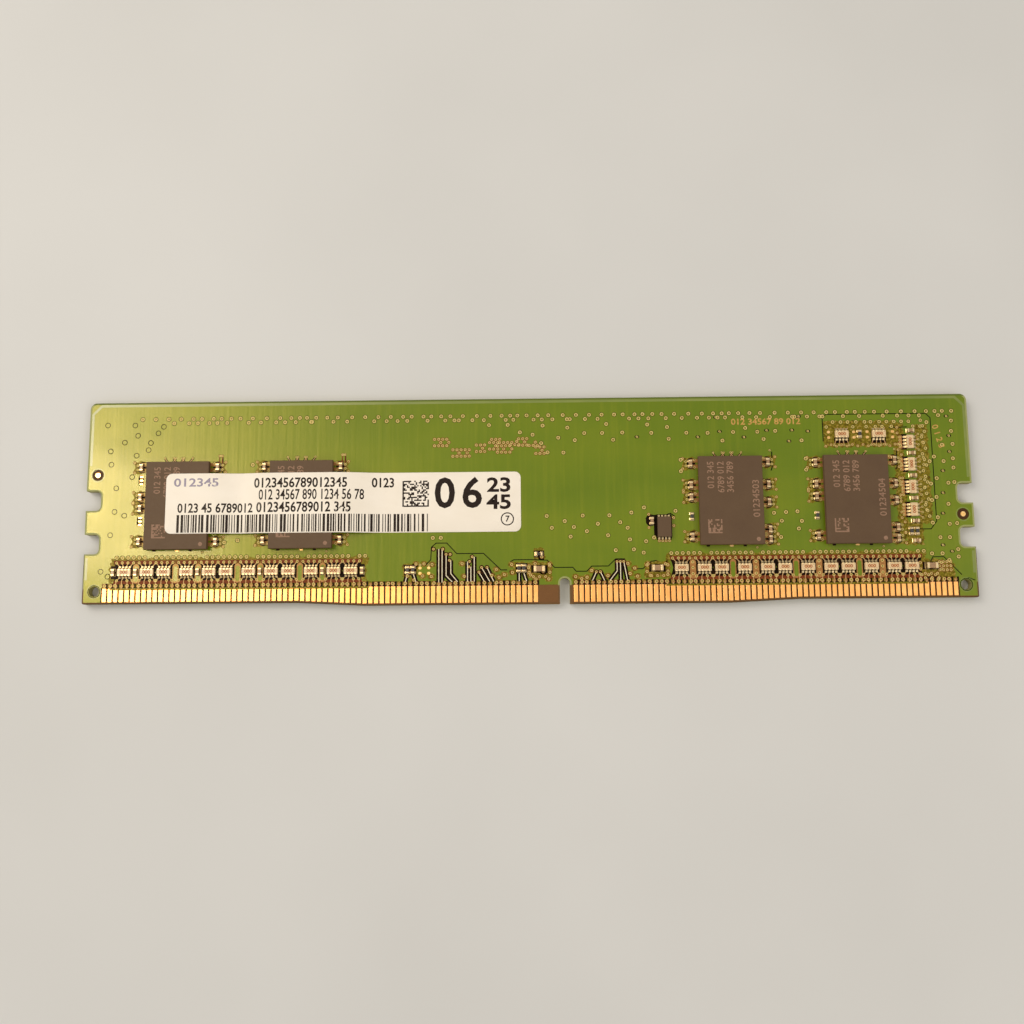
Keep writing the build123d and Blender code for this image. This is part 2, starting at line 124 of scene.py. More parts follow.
board_low, board_high = box("pcb_laminate")
board_top = box("solder_mask_front")[1].z
mask_back_face = box("solder_mask_back")[0].z
mask_low, mask_high = box("solder_mask_front")
DRAMS = ("dram_1", "dram_2", "dram_3", "dram_4")
packages = {name: box(f"{name}_mould") for name in DRAMS}
fingers = {side: islands(f"contacts_front_{side}") for side in ("left", "right")}
row_arrays = {side: islands(f"array_bodies_{side}") for side in ("left", "right")}
corner_arrays = islands("array_bodies_corner")
fiducials = islands("fiducial_dots")
contact_top = fingers["left"][0][1].y
pitch = middle(fingers["left"][1]).x - middle(fingers["left"][0]).x
row_y = middle(row_arrays["left"][0]).y


# --- pieces ---
def add_piece(name, mesh, material, slot, replaces=()):
    """Puts a mesh into the scene as a piece of the module."""
    piece = bpy.data.objects.new(name, mesh)
    bpy.context.scene.collection.objects.link(piece)
    mesh.materials.clear()
    mesh.materials.append(material)
    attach(piece, BODY)
    if replaces:
        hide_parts(*replaces)
    return piece


def flat(height):
    """Ground of constant height for relief that lies on a plane."""
    return lambda x, y: height


class Relief:
    """Low closed shapes on a face of the module, gathered into one mesh."""

    def __init__(self, ground, rise, side=1):
        self.ground = ground
        self.side = side
        self.rise = rise
        self.count = 0
        self.points = []
        self.faces = []

    def loft(self, rings, closed=False):
        """Joins rings of (x, y, level) points, and closes the ends with caps."""
        start = len(self.points)
        count = len(rings[0])
        for ring in rings:
            self.points += ring
        for k in range(len(rings) if closed else len(rings) - 1):
            here = start + k * count
            there = start + (k + 1) % len(rings) * count
            for i in range(count):
                j = (i + 1) % count
                self.faces.append((here + i, here + j, there + j, there + i))
        if not closed:
            for first in (start, start + (len(rings) - 1) * count):
                self.faces.append(tuple(range(first, first + count)))

    def top(self):
        """The relief's height, a hair different from shape to shape so that tops can overlap."""
        self.count = (self.count + 1) % HAIR_STEPS
        return self.rise + self.count * HAIR

    def plate(self, outline):
        """A flat-topped shape on an outline."""
        top = self.top()
        self.loft([[(x, y, level) for x, y in outline] for level in (-SINK, top)])

    def rect(self, x0, y0, x1, y1):
        """A rectangle from corner to corner."""
        self.plate([(x0, y0), (x1, y0), (x1, y1), (x0, y1)])

    def block(self, x, y, width, height):
        """A rectangle round its middle."""
        self.rect(x - width / 2, y - height / 2, x + width / 2, y + height / 2)

    def patch(self, x, y, width, height):
        """A rectangle with a ragged edge, round its middle."""
        across = max(round(width / RAGGED_STEP), 2)
        up = max(round(height / RAGGED_STEP), 2)
        teeth = [(i / across - 0.5, -0.5, 0, -1) for i in range(across)]
        teeth += [(0.5, i / up - 0.5, 1, 0) for i in range(up)]
        teeth += [(0.5 - i / across, 0.5, 0, 1) for i in range(across)]
        teeth += [(-0.5, 0.5 - i / up, -1, 0) for i in range(up)]
        outline = []
        for i, (along, aside, out_x, out_y) in enumerate(teeth):
            shift = RAGGED_REACH * math.sin(2.3 * i + x)
            outline.append((x + along * width + out_x * shift, y + aside * height + out_y * shift))
        self.plate(outline)

    def oval(self, x, y, width, height, sides=16):
        """A stadium, longer along the larger of its two sizes."""
        radius = min(width, height) / 2
        reach_x = width / 2 - radius
        reach_y = height / 2 - radius
        outline = []
        for i in range(sides):
            across, up = spoke(2 * math.pi * (i + 0.5) / sides)
            outline.append((
                x + math.copysign(reach_x, across) + radius * across,
                y + math.copysign(reach_y, up) + radius * up,
            ))
        self.plate(outline)

    def ring(self, x, y, outer, inner, sides=14):
        """A low rounded ring, as a plated hole's collar."""
        slope = (outer - inner) * 0.3
        top = self.top()
        profile = ((inner, -SINK), (outer, -SINK), (outer - slope, top), (inner + slope, top))
        rings = []
        for i in range(sides):
            across, up = spoke(2 * math.pi * i / sides)
            rings.append([(x + r * across, y + r * up, level) for r, level in profile])
        self.loft(rings, closed=True)

    def strip(self, points, width):
        """A track of even width along a line, with mitred bends."""
        rings = []
        top = self.top()
        section = ((1, -SINK), (-1, -SINK), (-0.8, top), (0.8, top))
        for i, (x, y) in enumerate(points):
            before = direction(points[max(i - 1, 0)], points[max(i, 1)])
            after = direction(points[min(i, len(points) - 2)], points[min(i + 1, len(points) - 1)])
            mid = (before + after).normalized()
            side = Vector((-mid.y, mid.x)) * (width / 2 / max(mid.dot(after), 0.4))
            rings.append([(x + side.x * out, y + side.y * out, level) for out, level in section])
        self.loft(rings)

    def skirt(self, low, high, reach, climb):
        """Solder drawn up round the foot of a terminal, hollow in profile."""
        rings = []
        foot = ((1.0, -SINK), (1.0, 0.02))
        for spread, level in (*foot, (0.45, climb * 0.28), (0.12, climb * 0.7), (0.03, climb)):
            out = reach * spread
            ends = (low.x - out, low.y - out, high.x + out, high.y + out)
            rings.append(rounded_outline(*ends, out, level))
        self.loft(rings)

    def tab(self, x, y, width, out, climb, turn):
        """Solder sloping from a terminal's face to its pad's end, along +Y before the turn."""
        rings = []
        start = ((-0.1, 0.5, climb), (0.0, 0.5, climb), (0.35, 0.56, climb * 0.42))
        for along, half, level in (*start, (0.75, 0.6, 0.05), (1.0, 0.5, 0.02)):
            ring = []
            for side, height in ((-1, -SINK), (1, -SINK), (0.8, level), (-0.8, level)):
                spot = turned(side * half * width, along * out, turn)
                ring.append((x + spot[0], y + spot[1], height))
            rings.append(ring)
        self.loft(rings)

    def numerals(self, text, x, y, size, turn=0.0, narrow=1.0, bold=0.0):
        """Plain figures, centred on a point and cut from the built-in font."""
        curve = bpy.data.curves.new("numerals", "FONT")
        curve.body = text
        curve.size = size
        curve.extrude = 0.1
        curve.offset = bold
        curve.resolution_u = 3
        curve.align_x = "CENTER"
        curve.align_y = "CENTER"
        carrier = bpy.data.objects.new("numerals", curve)
        glyphs = bpy.data.meshes.new_from_object(carrier)
        shape = bmesh.new()
        shape.from_mesh(glyphs)
        bmesh.ops.remove_doubles(shape, verts=shape.verts, dist=GLYPH_SEAM)
        shape.verts.index_update()
        start = len(self.points)
        for vert in shape.verts:
            spot = turned(vert.co.x * narrow, vert.co.y, turn)
            level = self.rise if vert.co.z > 0 else -SINK
            self.points.append((x + spot[0], y + spot[1], level))
        for face in shape.faces:
            self.faces.append(tuple(start + vert.index for vert in face.verts))
        shape.free()
        bpy.data.meshes.remove(glyphs)
        bpy.data.objects.remove(carrier)
        bpy.data.curves.remove(curve)

    def make(self, name, material, slot, replaces=()):
        mesh = bpy.data.meshes.new(name)
        verts = []
        for x, y, level in self.points:
            verts.append((x * MM, y * MM, (self.ground(x, y) + self.side * level) * MM))
        mesh.from_pydata(verts, [], self.faces)
        shape = bmesh.new()
        shape.from_mesh(mesh)
        bmesh.ops.recalc_face_normals(shape, faces=shape.faces)
        shape.to_mesh(mesh)
        shape.free()
        return add_piece(name, mesh, material, slot, replaces)


def spoke(angle):
    """The point at an angle in radians on a circle of radius 1."""
    return math.cos(angle), math.sin(angle)


def turned(x, y, angle):
    """A point turned about the origin by an angle in degrees."""
    across, up = spoke(math.radians(angle))
    return x * across - y * up, x * up + y * across


def direction(start, end):
    return (Vector(end) - Vector(start)).normalized()


def rounded_outline(x0, y0, x1, y1, radius, level, steps=2):
    """Points of a rounded rectangle at one level, anticlockwise."""
    radius = min(radius, (x1 - x0) / 2, (y1 - y0) / 2)
    right, left, head, foot = x1 - radius, x0 + radius, y1 - radius, y0 + radius
    points = []
    for x, y, first in ((right, head, 0), (left, head, 90), (left, foot, 180), (right, foot, 270)):
        for i in range(steps + 1):
            across, up = spoke(math.radians(first + 90 * i / steps))
            points.append((x + radius * across, y + radius * up, level))
    return points


def softened(node, material, slot, bevel):
    """Shows a CAD node at its own size, with its sharp edges rounded as on the real piece."""
    shape = welded(node)
    edges = [
        edge for edge in shape.edges
        if edge.is_manifold and edge.is_convex and edge.calc_face_angle() > SHARP_ANGLE
    ]
    bmesh.ops.bevel(
        shape, geom=edges, offset=bevel * MM, segments=2, profile=0.5, affect="EDGES",
        clamp_overlap=True,
    )
    mesh = bpy.data.meshes.new(node)
    shape.to_mesh(mesh)
    shape.free()
    return add_piece(f"{node}_finish", mesh, material, slot, replaces=(node,))


# --- materials ---
def linear(code):
    """Linear colour of a hexadecimal display colour."""
    values = [int(code[i : i + 2], 16) / 255 for i in (1, 3, 5)]
    return (*[v / 12.92 if v < 0.04045 else ((v + 0.055) / 1.055) ** 2.4 for v in values], 1.0)


class Finish:
    """A Principled material, built node by node. Places are object places in metres."""

    def __init__(self, name, **constants):
        self.material = bpy.data.materials.new(name)
        self.material.use_nodes = True
        self.tree = self.material.node_tree
        self.shader = self.tree.nodes["Principled BSDF"]
        for socket, value in constants.items():
            self.shader.inputs[socket.replace("_", " ")].default_value = value
        self.place = self.add("ShaderNodeTexCoord").outputs["Object"]
        self.last_bump = None

    def feed(self, socket, value):
        """Links a node's output to a socket, or sets the socket's own value."""
        if isinstance(value, bpy.types.NodeSocket):
            self.tree.links.new(value, socket)
        else:
            socket.default_value = linear(value) if isinstance(value, str) else value

    def add(self, kind, inputs=None, **settings):
        node = self.tree.nodes.new(kind)
        for key, value in settings.items():
            setattr(node, key, value)
        for key, value in (inputs or {}).items():
            self.feed(node.inputs[key], value)
        return node

    def mapped(self, size, shift=0.0):
        """Object places scaled so that one unit is size millimetres, a number or one per axis."""
        sizes = size if isinstance(size, tuple) else (size,) * 3
        inputs = {
            "Vector": self.place,
            "Location": (shift, shift * 1.7, shift * 0.6),
            "Scale": tuple(1 / (s * MM) for s in sizes),
        }
        return self.add("ShaderNodeMapping", inputs).outputs["Vector"]

    def noise(self, size, detail=3.0, shift=0.0, distortion=0.0):
        inputs = {
            "Vector": self.mapped(size, shift), "Scale": 1.0, "Detail": detail,
            "Distortion": distortion,
        }
        return self.add("ShaderNodeTexNoise", inputs).outputs["Fac"]

    def cells(self, size):
        inputs = {"Vector": self.mapped(size), "Scale": 1.0}
        return self.add("ShaderNodeTexVoronoi", inputs).outputs["Distance"]

    def wave(self, size, axis, distortion):
        inputs = {
            "Vector": self.mapped(size), "Scale": 1.0, "Distortion": distortion,
            "Detail": 1.0, "Detail Scale": 1.0,
        }
        return self.add("ShaderNodeTexWave", inputs, bands_direction=axis).outputs["Fac"]

    def ramp(self, factor, *stops):
        """Colour ramp through (place, colour) stops."""
        node = self.add("ShaderNodeValToRGB", {"Fac": factor})
        elements = node.color_ramp.elements
        while len(elements) < len(stops):
            elements.new(0.5)
        for element, (place, colour) in zip(elements, stops):
            element.position = place
            element.color = linear(colour) if isinstance(colour, str) else (colour,) * 3 + (1.0,)
        return node.outputs["Color"]

    def between(self, factor, low, high):
        """Maps a factor from 0 to 1 onto a range."""
        node = self.add("ShaderNodeMapRange", {"Value": factor, "To Min": low, "To Max": high})
        return node.outputs["Result"]

    def window(self, value, start, end):
        """0 below start and 1 above end, in the value's own units."""
        inputs = {"Value": value, "From Min": start, "From Max": end}
        return self.add("ShaderNodeMapRange", inputs).outputs["Result"]

    def axis(self, name):
        """One coordinate of the place, in metres."""
        return self.add("ShaderNodeSeparateXYZ", {"Vector": self.place}).outputs[name]

    def maths(self, operation, first, second=0.5):
        node = self.add("ShaderNodeMath", operation=operation)
        for socket, value in zip(node.inputs, (first, second)):
            self.feed(socket, value)
        return node.outputs[0]

    def mix(self, factor, first, second):
        """The first colour where the factor is 0, the second where it is 1."""
        inputs = {MIX_FACTOR: factor, MIX_FIRST: first, MIX_SECOND: second}
        return self.add("ShaderNodeMix", inputs, data_type="RGBA").outputs[MIX_RESULT]

    def bump(self, height, depth, strength=1.0):
        """Adds relief of a depth in millimetres on top of any added before."""
        inputs = {"Height": height, "Distance": depth * MM, "Strength": strength}
        if self.last_bump:
            inputs["Normal"] = self.last_bump
        self.last_bump = self.add("ShaderNodeBump", inputs).outputs["Normal"]
        self.tree.links.new(self.last_bump, self.shader.inputs["Normal"])

    def done(self, colour, rough, *bumps):
        """Takes the finished colour, roughness and bumps, and gives the material."""
        self.feed(self.shader.inputs["Base Color"], colour)
        self.feed(self.shader.inputs["Roughness"], rough)
        for bump in bumps:
            self.bump(*bump)
        return self.material


WARM_SHEEN = (1.0, 0.84, 0.36, 1.0)


def grained(name, colours, grain, rough, rough_grain, bump_grain, bump, at=(0.3, 0.7), **constants):
    """A finish with a noise each for its colour, its roughness and its bump.

    A grain is a noise's size, detail, shift and distortion. The bump is a depth and a strength."""
    f = Finish(name, **constants)
    colour = f.ramp(f.noise(*grain), *zip(at, colours))
    return f.done(colour, f.between(f.noise(*rough_grain), *rough), (f.noise(*bump_grain), *bump))


def covered_copper(name, *colours):
    """Copper seen through the mask."""
    return grained(
        name, colours, (0.35, 4.0), (0.3, 0.48), (0.5, 3.0, 2.0), (0.12,), (0.003, 0.5),
        IOR=1.5, Specular_Tint=WARM_SHEEN,
    )


def sunken_mask(name, *colours):
    """Thin mask in the dip round a plated hole, too uneven to shine."""
    return grained(
        name, colours, (0.35, 4.0), (0.5, 0.7), (0.5, 3.0, 2.0), (0.12,), (0.003, 0.5),
        Specular_IOR_Level=0.1,
    )


def ceramic(name, *colours, rough=(0.35, 0.55)):
    """Fired ceramic with a fine speckle."""
    return grained(name, colours, (0.14, 5.0), rough, (0.2,), (0.06, 4.0), (0.006, 0.5), IOR=1.6)


def ink_finish(name, *colours):
    """Printed ink, uneven at a small scale."""
    return grained(
        name, colours, (0.25, 5.0), (0.4, 0.6), (0.2,), (0.08,), (0.002, 0.4), at=(0.3, 0.75),
        Specular_IOR_Level=0.12,
    )


def mask_finish():
    """Olive solder mask over copper planes, glossy, with the glass weave showing faintly."""
    f = Finish(
        "solder_mask_olive", IOR=1.5, Specular_Tint=WARM_SHEEN, Coat_Weight=0.15,
        Coat_Roughness=0.12,
    )
    broad = f.noise((22.0, 9.0, 9.0), detail=2.0)
    fine = f.noise(1.3, detail=4.0, shift=3.0)
    colour = f.ramp(broad, (0.3, "#577004"), (0.5, "#607606"), (0.7, "#6b7c09"))
    colour = f.mix(f.between(fine, 0.0, 0.3), colour, "#536b03")
    # the pale streaks along Y are a painted highlight, glare broken up by the uneven mask; the same
    # noise also bumps the mask
    streaks = f.noise((0.55, 14.0, 14.0), detail=3.0, shift=1.0)
    colour = f.mix(f.between(f.window(streaks, 0.5, 0.85), 0.0, 0.35), colour, "#848a1a")
    weave = f.maths("MULTIPLY", f.wave(0.42, "X", 1.2), f.wave(0.46, "Y", 1.2))
    colour = f.mix(f.between(weave, 0.0, 0.12), colour, "#78850e")
    return f.done(
        colour, f.between(f.noise(4.0, shift=7.0), 0.26, 0.40),
        (weave, 0.006, 0.5), (streaks, 0.03, 0.6), (f.noise(0.5, detail=2.0), 0.004, 0.4),
    )


def gold_finish():
    """Contact gold: fine brushing along the stroke, scuffs where a socket has wiped it."""
    f = Finish("contact_gold", Metallic=1.0)
    brushed = f.noise((0.03, 2.2, 1.0), detail=4.0)
    patchy = f.noise((0.9, 1.3, 1.0), detail=3.0, shift=5.0)
    colour = f.ramp(patchy, (0.25, "#ecab62"), (0.5, "#f4b46c"), (0.75, "#fabf79"))
    colour = f.mix(f.between(brushed, 0.0, 0.3), colour, "#d98f42")
    scuff = f.ramp(f.noise((0.06, 1.6, 1.0), detail=5.0, shift=9.0), (0.62, 0.0), (0.72, 1.0))
    return f.done(
        f.mix(f.between(scuff, 0.0, 0.4), colour, "#ffe2ae"),
        f.maths("ADD", f.between(brushed, 0.29, 0.46), f.between(scuff, 0.0, 0.12)),
        (brushed, 0.003, 0.5), (f.noise(0.25, detail=4.0), 0.004, 0.4),
    )


def laminate_finish():
    """Glass-epoxy laminate: woven brown faces, pale layered edges with thin copper lines."""
    f = Finish("glass_epoxy", IOR=1.5, Specular_IOR_Level=0.2)
    weave = f.maths("MULTIPLY", f.wave(0.36, "X", 0.8), f.wave(0.36, "Y", 0.8))
    face = f.ramp(weave, (0.0, "#6c4520"), (0.5, "#835626"), (1.0, "#996a34"))
    face = f.mix(f.between(f.noise(0.8, detail=4.0), 0.0, 0.4), face, "#5c3a18")
    # painted shade: darker in the narrow gaps between contacts than on the bare stretch beside the
    # key slot
    bare_middle = (fingers["left"][-1][1].x + fingers["right"][0][0].x) / 2
    bare_half = fingers["right"][0][0].x - bare_middle
    from_bare = f.maths("ABSOLUTE", f.maths("SUBTRACT", f.axis("X"), bare_middle * MM))
    face = f.mix(f.window(from_bare, (bare_half - 0.2) * MM, bare_half * MM), face, "#452605")
    layers = f.wave(0.175, "Z", 0.15)
    side = f.ramp(layers, (0.0, "#7a7038"), (0.35, "#a39a5e"), (0.8, "#b8b078"))
    side = f.mix(f.between(f.noise((0.25, 0.25, 0.05), detail=4.0), 0.0, 0.5), side, "#877c48")
    # the bare rim on both faces: dark olive along the plain edge, a painted edge shadow; brown at
    # the feet of the contacts
    along = f.axis("Y")
    rim = f.mix(f.window(along, (mask_high.y - 0.1) * MM, mask_high.y * MM), "#989a5e", "#5d6a22")
    rim = f.mix(f.window(along, contact_top * MM, (contact_top - 0.1) * MM), rim, "#6a4a26")
    height = f.axis("Z")
    above = f.window(height, (board_top - 0.024) * MM, (board_top - 0.02) * MM)
    below = f.window(height, (board_low.z + 0.024) * MM, (board_low.z + 0.02) * MM)
    normal = f.add("ShaderNodeNewGeometry").outputs["Normal"]
    upright = f.add("ShaderNodeSeparateXYZ", {"Vector": normal}).outputs["Z"]
    steep = f.window(f.maths("ABSOLUTE", upright), 0.7, 0.5)
    colour = f.mix(f.maths("MAXIMUM", above, below), face, rim)
    return f.done(
        f.mix(steep, colour, side), f.between(f.noise(0.3), 0.5, 0.72),
        (weave, 0.02, 0.6), (f.noise(0.12, detail=4.0), 0.01, 0.5),
    )


def mould_finish():
    """Epoxy mould: warm charcoal, very matte, with a fine filler grain."""
    f = Finish("epoxy_mould", IOR=1.5, Specular_IOR_Level=0.32)
    grain = f.noise(0.06, detail=4.0)
    cloud = f.noise(3.5, detail=3.0, shift=4.0)
    colour = f.ramp(cloud, (0.3, "#523a24"), (0.7, "#594129"))
    return f.done(
        f.mix(f.between(grain, 0.0, 0.55), colour, "#69523a"), f.between(f.noise(0.5), 0.66, 0.84),
        (grain, 0.012, 0.6), (f.cells(0.18), 0.004, 0.4),
    )


def substrate_finish():
    """Package substrate: red-brown laminate seen at its cut edge."""
    f = Finish("package_laminate", IOR=1.5)
    colour = f.ramp(f.wave(0.06, "Z", 0.4), (0.0, "#6a3c1e"), (1.0, "#8f5a34"))
    return f.done(colour, f.between(f.noise(0.2), 0.45, 0.65), (f.noise(0.1), 0.01, 0.5))


def paper_finish():
    """Matte coated label stock with a faint fibre grain."""
    f = Finish("label_stock", Specular_IOR_Level=0.3, Sheen_Weight=0.05)
    fibres = f.noise((0.5, 0.08, 0.3), detail=5.0)
    blotches = f.noise((6.0, 3.0, 3.0), detail=4.0)
    return f.done(
        f.ramp(blotches, (0.3, "#efe3d0"), (0.7, "#f5ead9")), f.between(fibres, 0.5, 0.66),
        (fibres, 0.004, 0.5), (f.noise(5.0, detail=2.0, shift=2.0), 0.05, 0.5),
    )


MASK = mask_finish()
BARE_MASK = grained(          # mask with no copper under it, darker and lower in gloss
    "solder_mask_clearance", ("#0b0f02", "#161c05"), (1.0, 4.0), (0.4, 0.55), (0.4,), (0.3,),
    (0.004, 0.5), Specular_IOR_Level=0.05,
)
DENSE_MASK = grained(         # deep brown mask between close tracks
    "solder_mask_between_tracks", ("#0c0501", "#1a0c03", "#3a1e09"), ((0.7, 0.5, 1.0), 4.0),
    (0.4, 0.55), (0.4,), (0.3,), (0.004, 0.5), at=(0.3, 0.55, 0.75), Specular_IOR_Level=0.04,
)
CLUTTER = (0.34, 3.0, 0.0, 0.4)
CROWDED_MASK = grained(       # mask over copper too fine to make out: olive, brown and tan by turns
    "solder_mask_crowded", ("#4c3808", "#6a5c0e", "#786c12", "#a08440"), CLUTTER,
    (0.35, 0.55), (0.4, 3.0, 2.0), CLUTTER, (0.008, 0.5), at=(0.34, 0.44, 0.54, 0.66),
    Specular_IOR_Level=0.25, Specular_Tint=WARM_SHEEN,
)
EDGE_BAND = grained(          # mask over bare laminate along the outline, paler than over copper
    "solder_mask_edge_band", ("#6c7a22", "#7d862e"), ((5.0, 2.0, 2.0), 4.0), (0.32, 0.46),
    (0.6,), (0.4,), (0.004, 0.4), Coat_Weight=0.35, Coat_Roughness=0.25, IOR=1.5,
)
TRACK = covered_copper("covered_track", "#a87a4a", "#cda574")
PALE_TRACK = covered_copper("covered_track_pale", "#ecdab4", "#fbf0d4")
COLLAR = covered_copper("via_collar", "#ceb062", "#ecd28a")
FLOOD = covered_copper("covered_copper_flood", "#8c5a2c", "#b27c48")
WELL = covered_copper("via_well", "#6f642a", "#8f8040")
COPPER_FIGURE = covered_copper("copper_figure", "#b08040", "#cfa25a")
HALO = sunken_mask("via_halo", "#3f4408", "#565a10")
RED_HALO = sunken_mask("close_via_halo", "#64280c", "#84421c")
GOLD = gold_finish()
PAD_GOLD = grained(
    "pad_gold", ("#d8a45c", "#f0c98a"), (0.3,), (0.28, 0.42), (0.2,), (0.1,), (0.003, 0.5),
    Metallic=1.0,
)
LAMINATE = laminate_finish()
MOULD = mould_finish()
LASER = grained(              # laser-scribed mould, ashen and rough
    "laser_mark", ("#86664f", "#a07d64"), (0.12, 4.0), (0.75, 0.95), (0.1,), (0.06,),
    (0.006, 0.6), Specular_IOR_Level=0.3,
)
SUBSTRATE = substrate_finish()
SILICON = grained(
    "silicon_die", ("#4b4f58", "#6d7280"), (0.8, 4.0), (0.15, 0.3), (0.3,), (0.05,), (0.002, 0.4),
    Metallic=0.6,
)
SOLDER = grained(
    "reflowed_solder", ("#a8946e", "#cfbb92"), (0.2, 4.0), (0.32, 0.52), (0.12, 4.0),
    (0.08, 4.0), (0.006, 0.6), Metallic=1.0,
)
TIN = grained(
    "plated_tin", ("#b8a37c", "#dcc8a0"), (0.15, 4.0), (0.38, 0.58), (0.1, 4.0), (0.05, 4.0),
    (0.006, 0.6), Metallic=1.0,
)
ARRAY_CERAMIC = ceramic("array_ceramic", "#d2ae7c", "#e6c898")
CAPACITOR_CERAMIC = ceramic("capacitor_ceramic", "#8a6640", "#ab8456")
RESISTOR_COATING = ceramic("resistor_coating", "#110b07", "#221912", rough=(0.32, 0.46))
PAPER = paper_finish()
INK = ink_finish("label_ink", "#150b07", "#261611")
PALE_INK = ink_finish("label_pale_ink", "#8a8090", "#a59ca8")
ARRAY_INK = ink_finish("array_ink", "#9a5222", "#b86c34")


# --- CAD nodes that keep their own shape ---
def dress(node, material):
    nodes[node].data.materials.clear()
    nodes[node].data.materials.append(material)


dress("pcb_laminate", LAMINATE)
dress("solder_mask_front", MASK)
dress("fiducial_dots", PAD_GOLD)
for name in DRAMS:
    dress(f"{name}_balls", SOLDER)
    dress(f"{name}_substrate", SUBSTRATE)
    dress(f"{name}_die", SILICON)
    dress(f"{name}_mould", MOULD)
dress("spd_body", MOULD)
dress("spd_terminals", TIN)

# --- small components with rounded edges ---
GROUPS = ("left", "right", "corner")
CAPACITORS = (*DRAMS, "spd", "row", "bulk", "termination")
RESISTORS = ("corner", "centre", "calibration")
CHIPS = {f"{name}_capacitor": (CAPACITOR_CERAMIC, "capacitor_ceramic") for name in CAPACITORS}
CHIPS |= {f"{name}_resistor": (RESISTOR_COATING, "resistor_coating") for name in RESISTORS}
for group, (material, slot) in CHIPS.items():
    softened(f"{group}_bodies", material, slot, bevel=0.03)
    softened(f"{group}_terminals", TIN, "tin_plating", bevel=0.05)
for group in GROUPS:
    softened(f"array_bodies_{group}", ARRAY_CERAMIC, "array_ceramic", bevel=0.03)
    softened(f"array_terminals_{group}", TIN, "tin_plating", bevel=0.04)
for side in ("left", "right"):
    for face in ("front", "back"):
        softened(f"contacts_{face}_{side}", GOLD, "gold_plating", bevel=0.018)

front = flat(board_top)

# --- solder ---
solder = Relief(front, 0.0)
for group in CHIPS:
    for low, high in islands(f"{group}_terminals"):
        solder.skirt(low, high, reach=0.13, climb=(high.z - low.z) * 0.55)
TAB = (0.34, 0.36, 0.22)      # width, length and height of the solder at an array's terminal
SPD_TAB = (0.3, 0.34, 0.12)
for group in GROUPS:
    array_boxes = islands(f"array_bodies_{group}")
    for low, high in islands(f"array_terminals_{group}"):
        spot = (low + high) / 2
        home = min(array_boxes, key=lambda pair: (middle(pair) - spot).length)
        away = spot - middle(home)
        if stands(home):
            solder.tab(high.x if away.x > 0 else low.x, spot.y, *TAB, -90 if away.x > 0 else 90)
        else:
            solder.tab(spot.x, high.y if away.y > 0 else low.y, *TAB, 0 if away.y > 0 else 180)
spd_middle = middle(box("spd_body"))
for low, high in islands("spd_terminals"):
    if high.x - low.x < 1:    # the ninth is the thermal pad
        above = high.y > spd_middle.y
        foot = high.y if above else low.y
        solder.tab((low.x + high.x) / 2, foot, *SPD_TAB, 0 if above else 180)
solder.make("solder_fillets", SOLDER, "solder")

# --- board surface: where things lie, in millimetres ---
surface = []


def on_board(name, material, rise, slot="solder_mask"):
    """Relief on the board's front, which becomes a piece once all its shapes are in."""
    relief = Relief(front, rise)
    surface.append((relief, name, material, slot))
    return relief


# Where kinds overlap, each has a rise of its own, so that no two tops share a plane.
clearance = on_board("mask_clearance_lines", BARE_MASK, CLEARANCE_RISE)
dense = on_board("mask_between_tracks", DENSE_MASK, 0.0035)
band = on_board("mask_edge_band", EDGE_BAND, CLEARANCE_RISE)
flood = on_board("covered_copper_areas", FLOOD, 0.007)
tracks = on_board("covered_tracks", TRACK, 0.014)
pale_tracks = on_board("covered_tracks_pale", PALE_TRACK, 0.015)
crowded = on_board("mask_over_crowded_copper", CROWDED_MASK, 0.0015)
collars = on_board("via_collars", COLLAR, 0.022)
halos = on_board("via_halos", HALO, 0.0045)
red_halos = on_board("close_via_halos", RED_HALO, 0.0055)
green_islands = on_board("mask_islands", MASK, 0.0112)
copper_figures = on_board("copper_figures", COPPER_FIGURE, 0.013)
wells = on_board("via_wells", WELL, 0.016)
pads = on_board("bare_pads", PAD_GOLD, 0.022, "gold_plating")
via_places = []


def via(x, y, radius=VIA_RADIUS, rim=halos):
    """A plated hole closed with mask: a raised collar round a darker middle."""
    rim.oval(x, y, radius * 2.55, radius * 2.55, sides=12)
    collars.ring(x, y, radius, radius * 0.5)
    wells.oval(x, y, radius * 1.05, radius * 1.05, sides=10)
    via_places.append((x, y, radius))


def close_via(x, y, radius=CLOSE_VIA):
    """A via among close tracks, in a red-brown dip."""
    via(x, y, radius, red_halos)


def walk(start, end, steps):
    """Places from start to end, with the same uneven steps over and over."""
    place = start
    count = 0
    while place < end:
        yield place
        place += steps[count % len(steps)]
        count += 1


# Two rows of vias tie the planes together along the plain edge.
TOP_ROW = mask_high.y - 2.37
TOP_STEPS = (
    2.0, 2.0, 1.9, 1.9, 1.3, 1.8, 1.2, 1.5, 1.4, 1.9, 2.15, 2.05, 1.7, 1.3, 1.1, 1.4, 1.7, 1.6,
    2.2,
)
SECOND_STEPS = (
    2.3, 1.8, 1.3, 1.5, 1.75, 2.85, 1.8, 2.9, 0.8, 1.9, 1.9, 0.9, 2.7, 2.1, 4.2, 1.9, 1.6, 1.45,
    3.05,
)
ROW_GAP = 0.62                # least distance along the board from a via to one in the row above
top_places = list(walk(mask_low.x + 7.85, mask_high.x - 2.0, TOP_STEPS))
for x in top_places:
    via(x, TOP_ROW)
for x in walk(mask_low.x + 12.7, mask_high.x - 2.6, SECOND_STEPS):
    above = min(top_places, key=lambda place: abs(place - x))
    if abs(x - above) < ROW_GAP:
        x = above + math.copysign(ROW_GAP, x - above)
    via(x, TOP_ROW - 0.65)

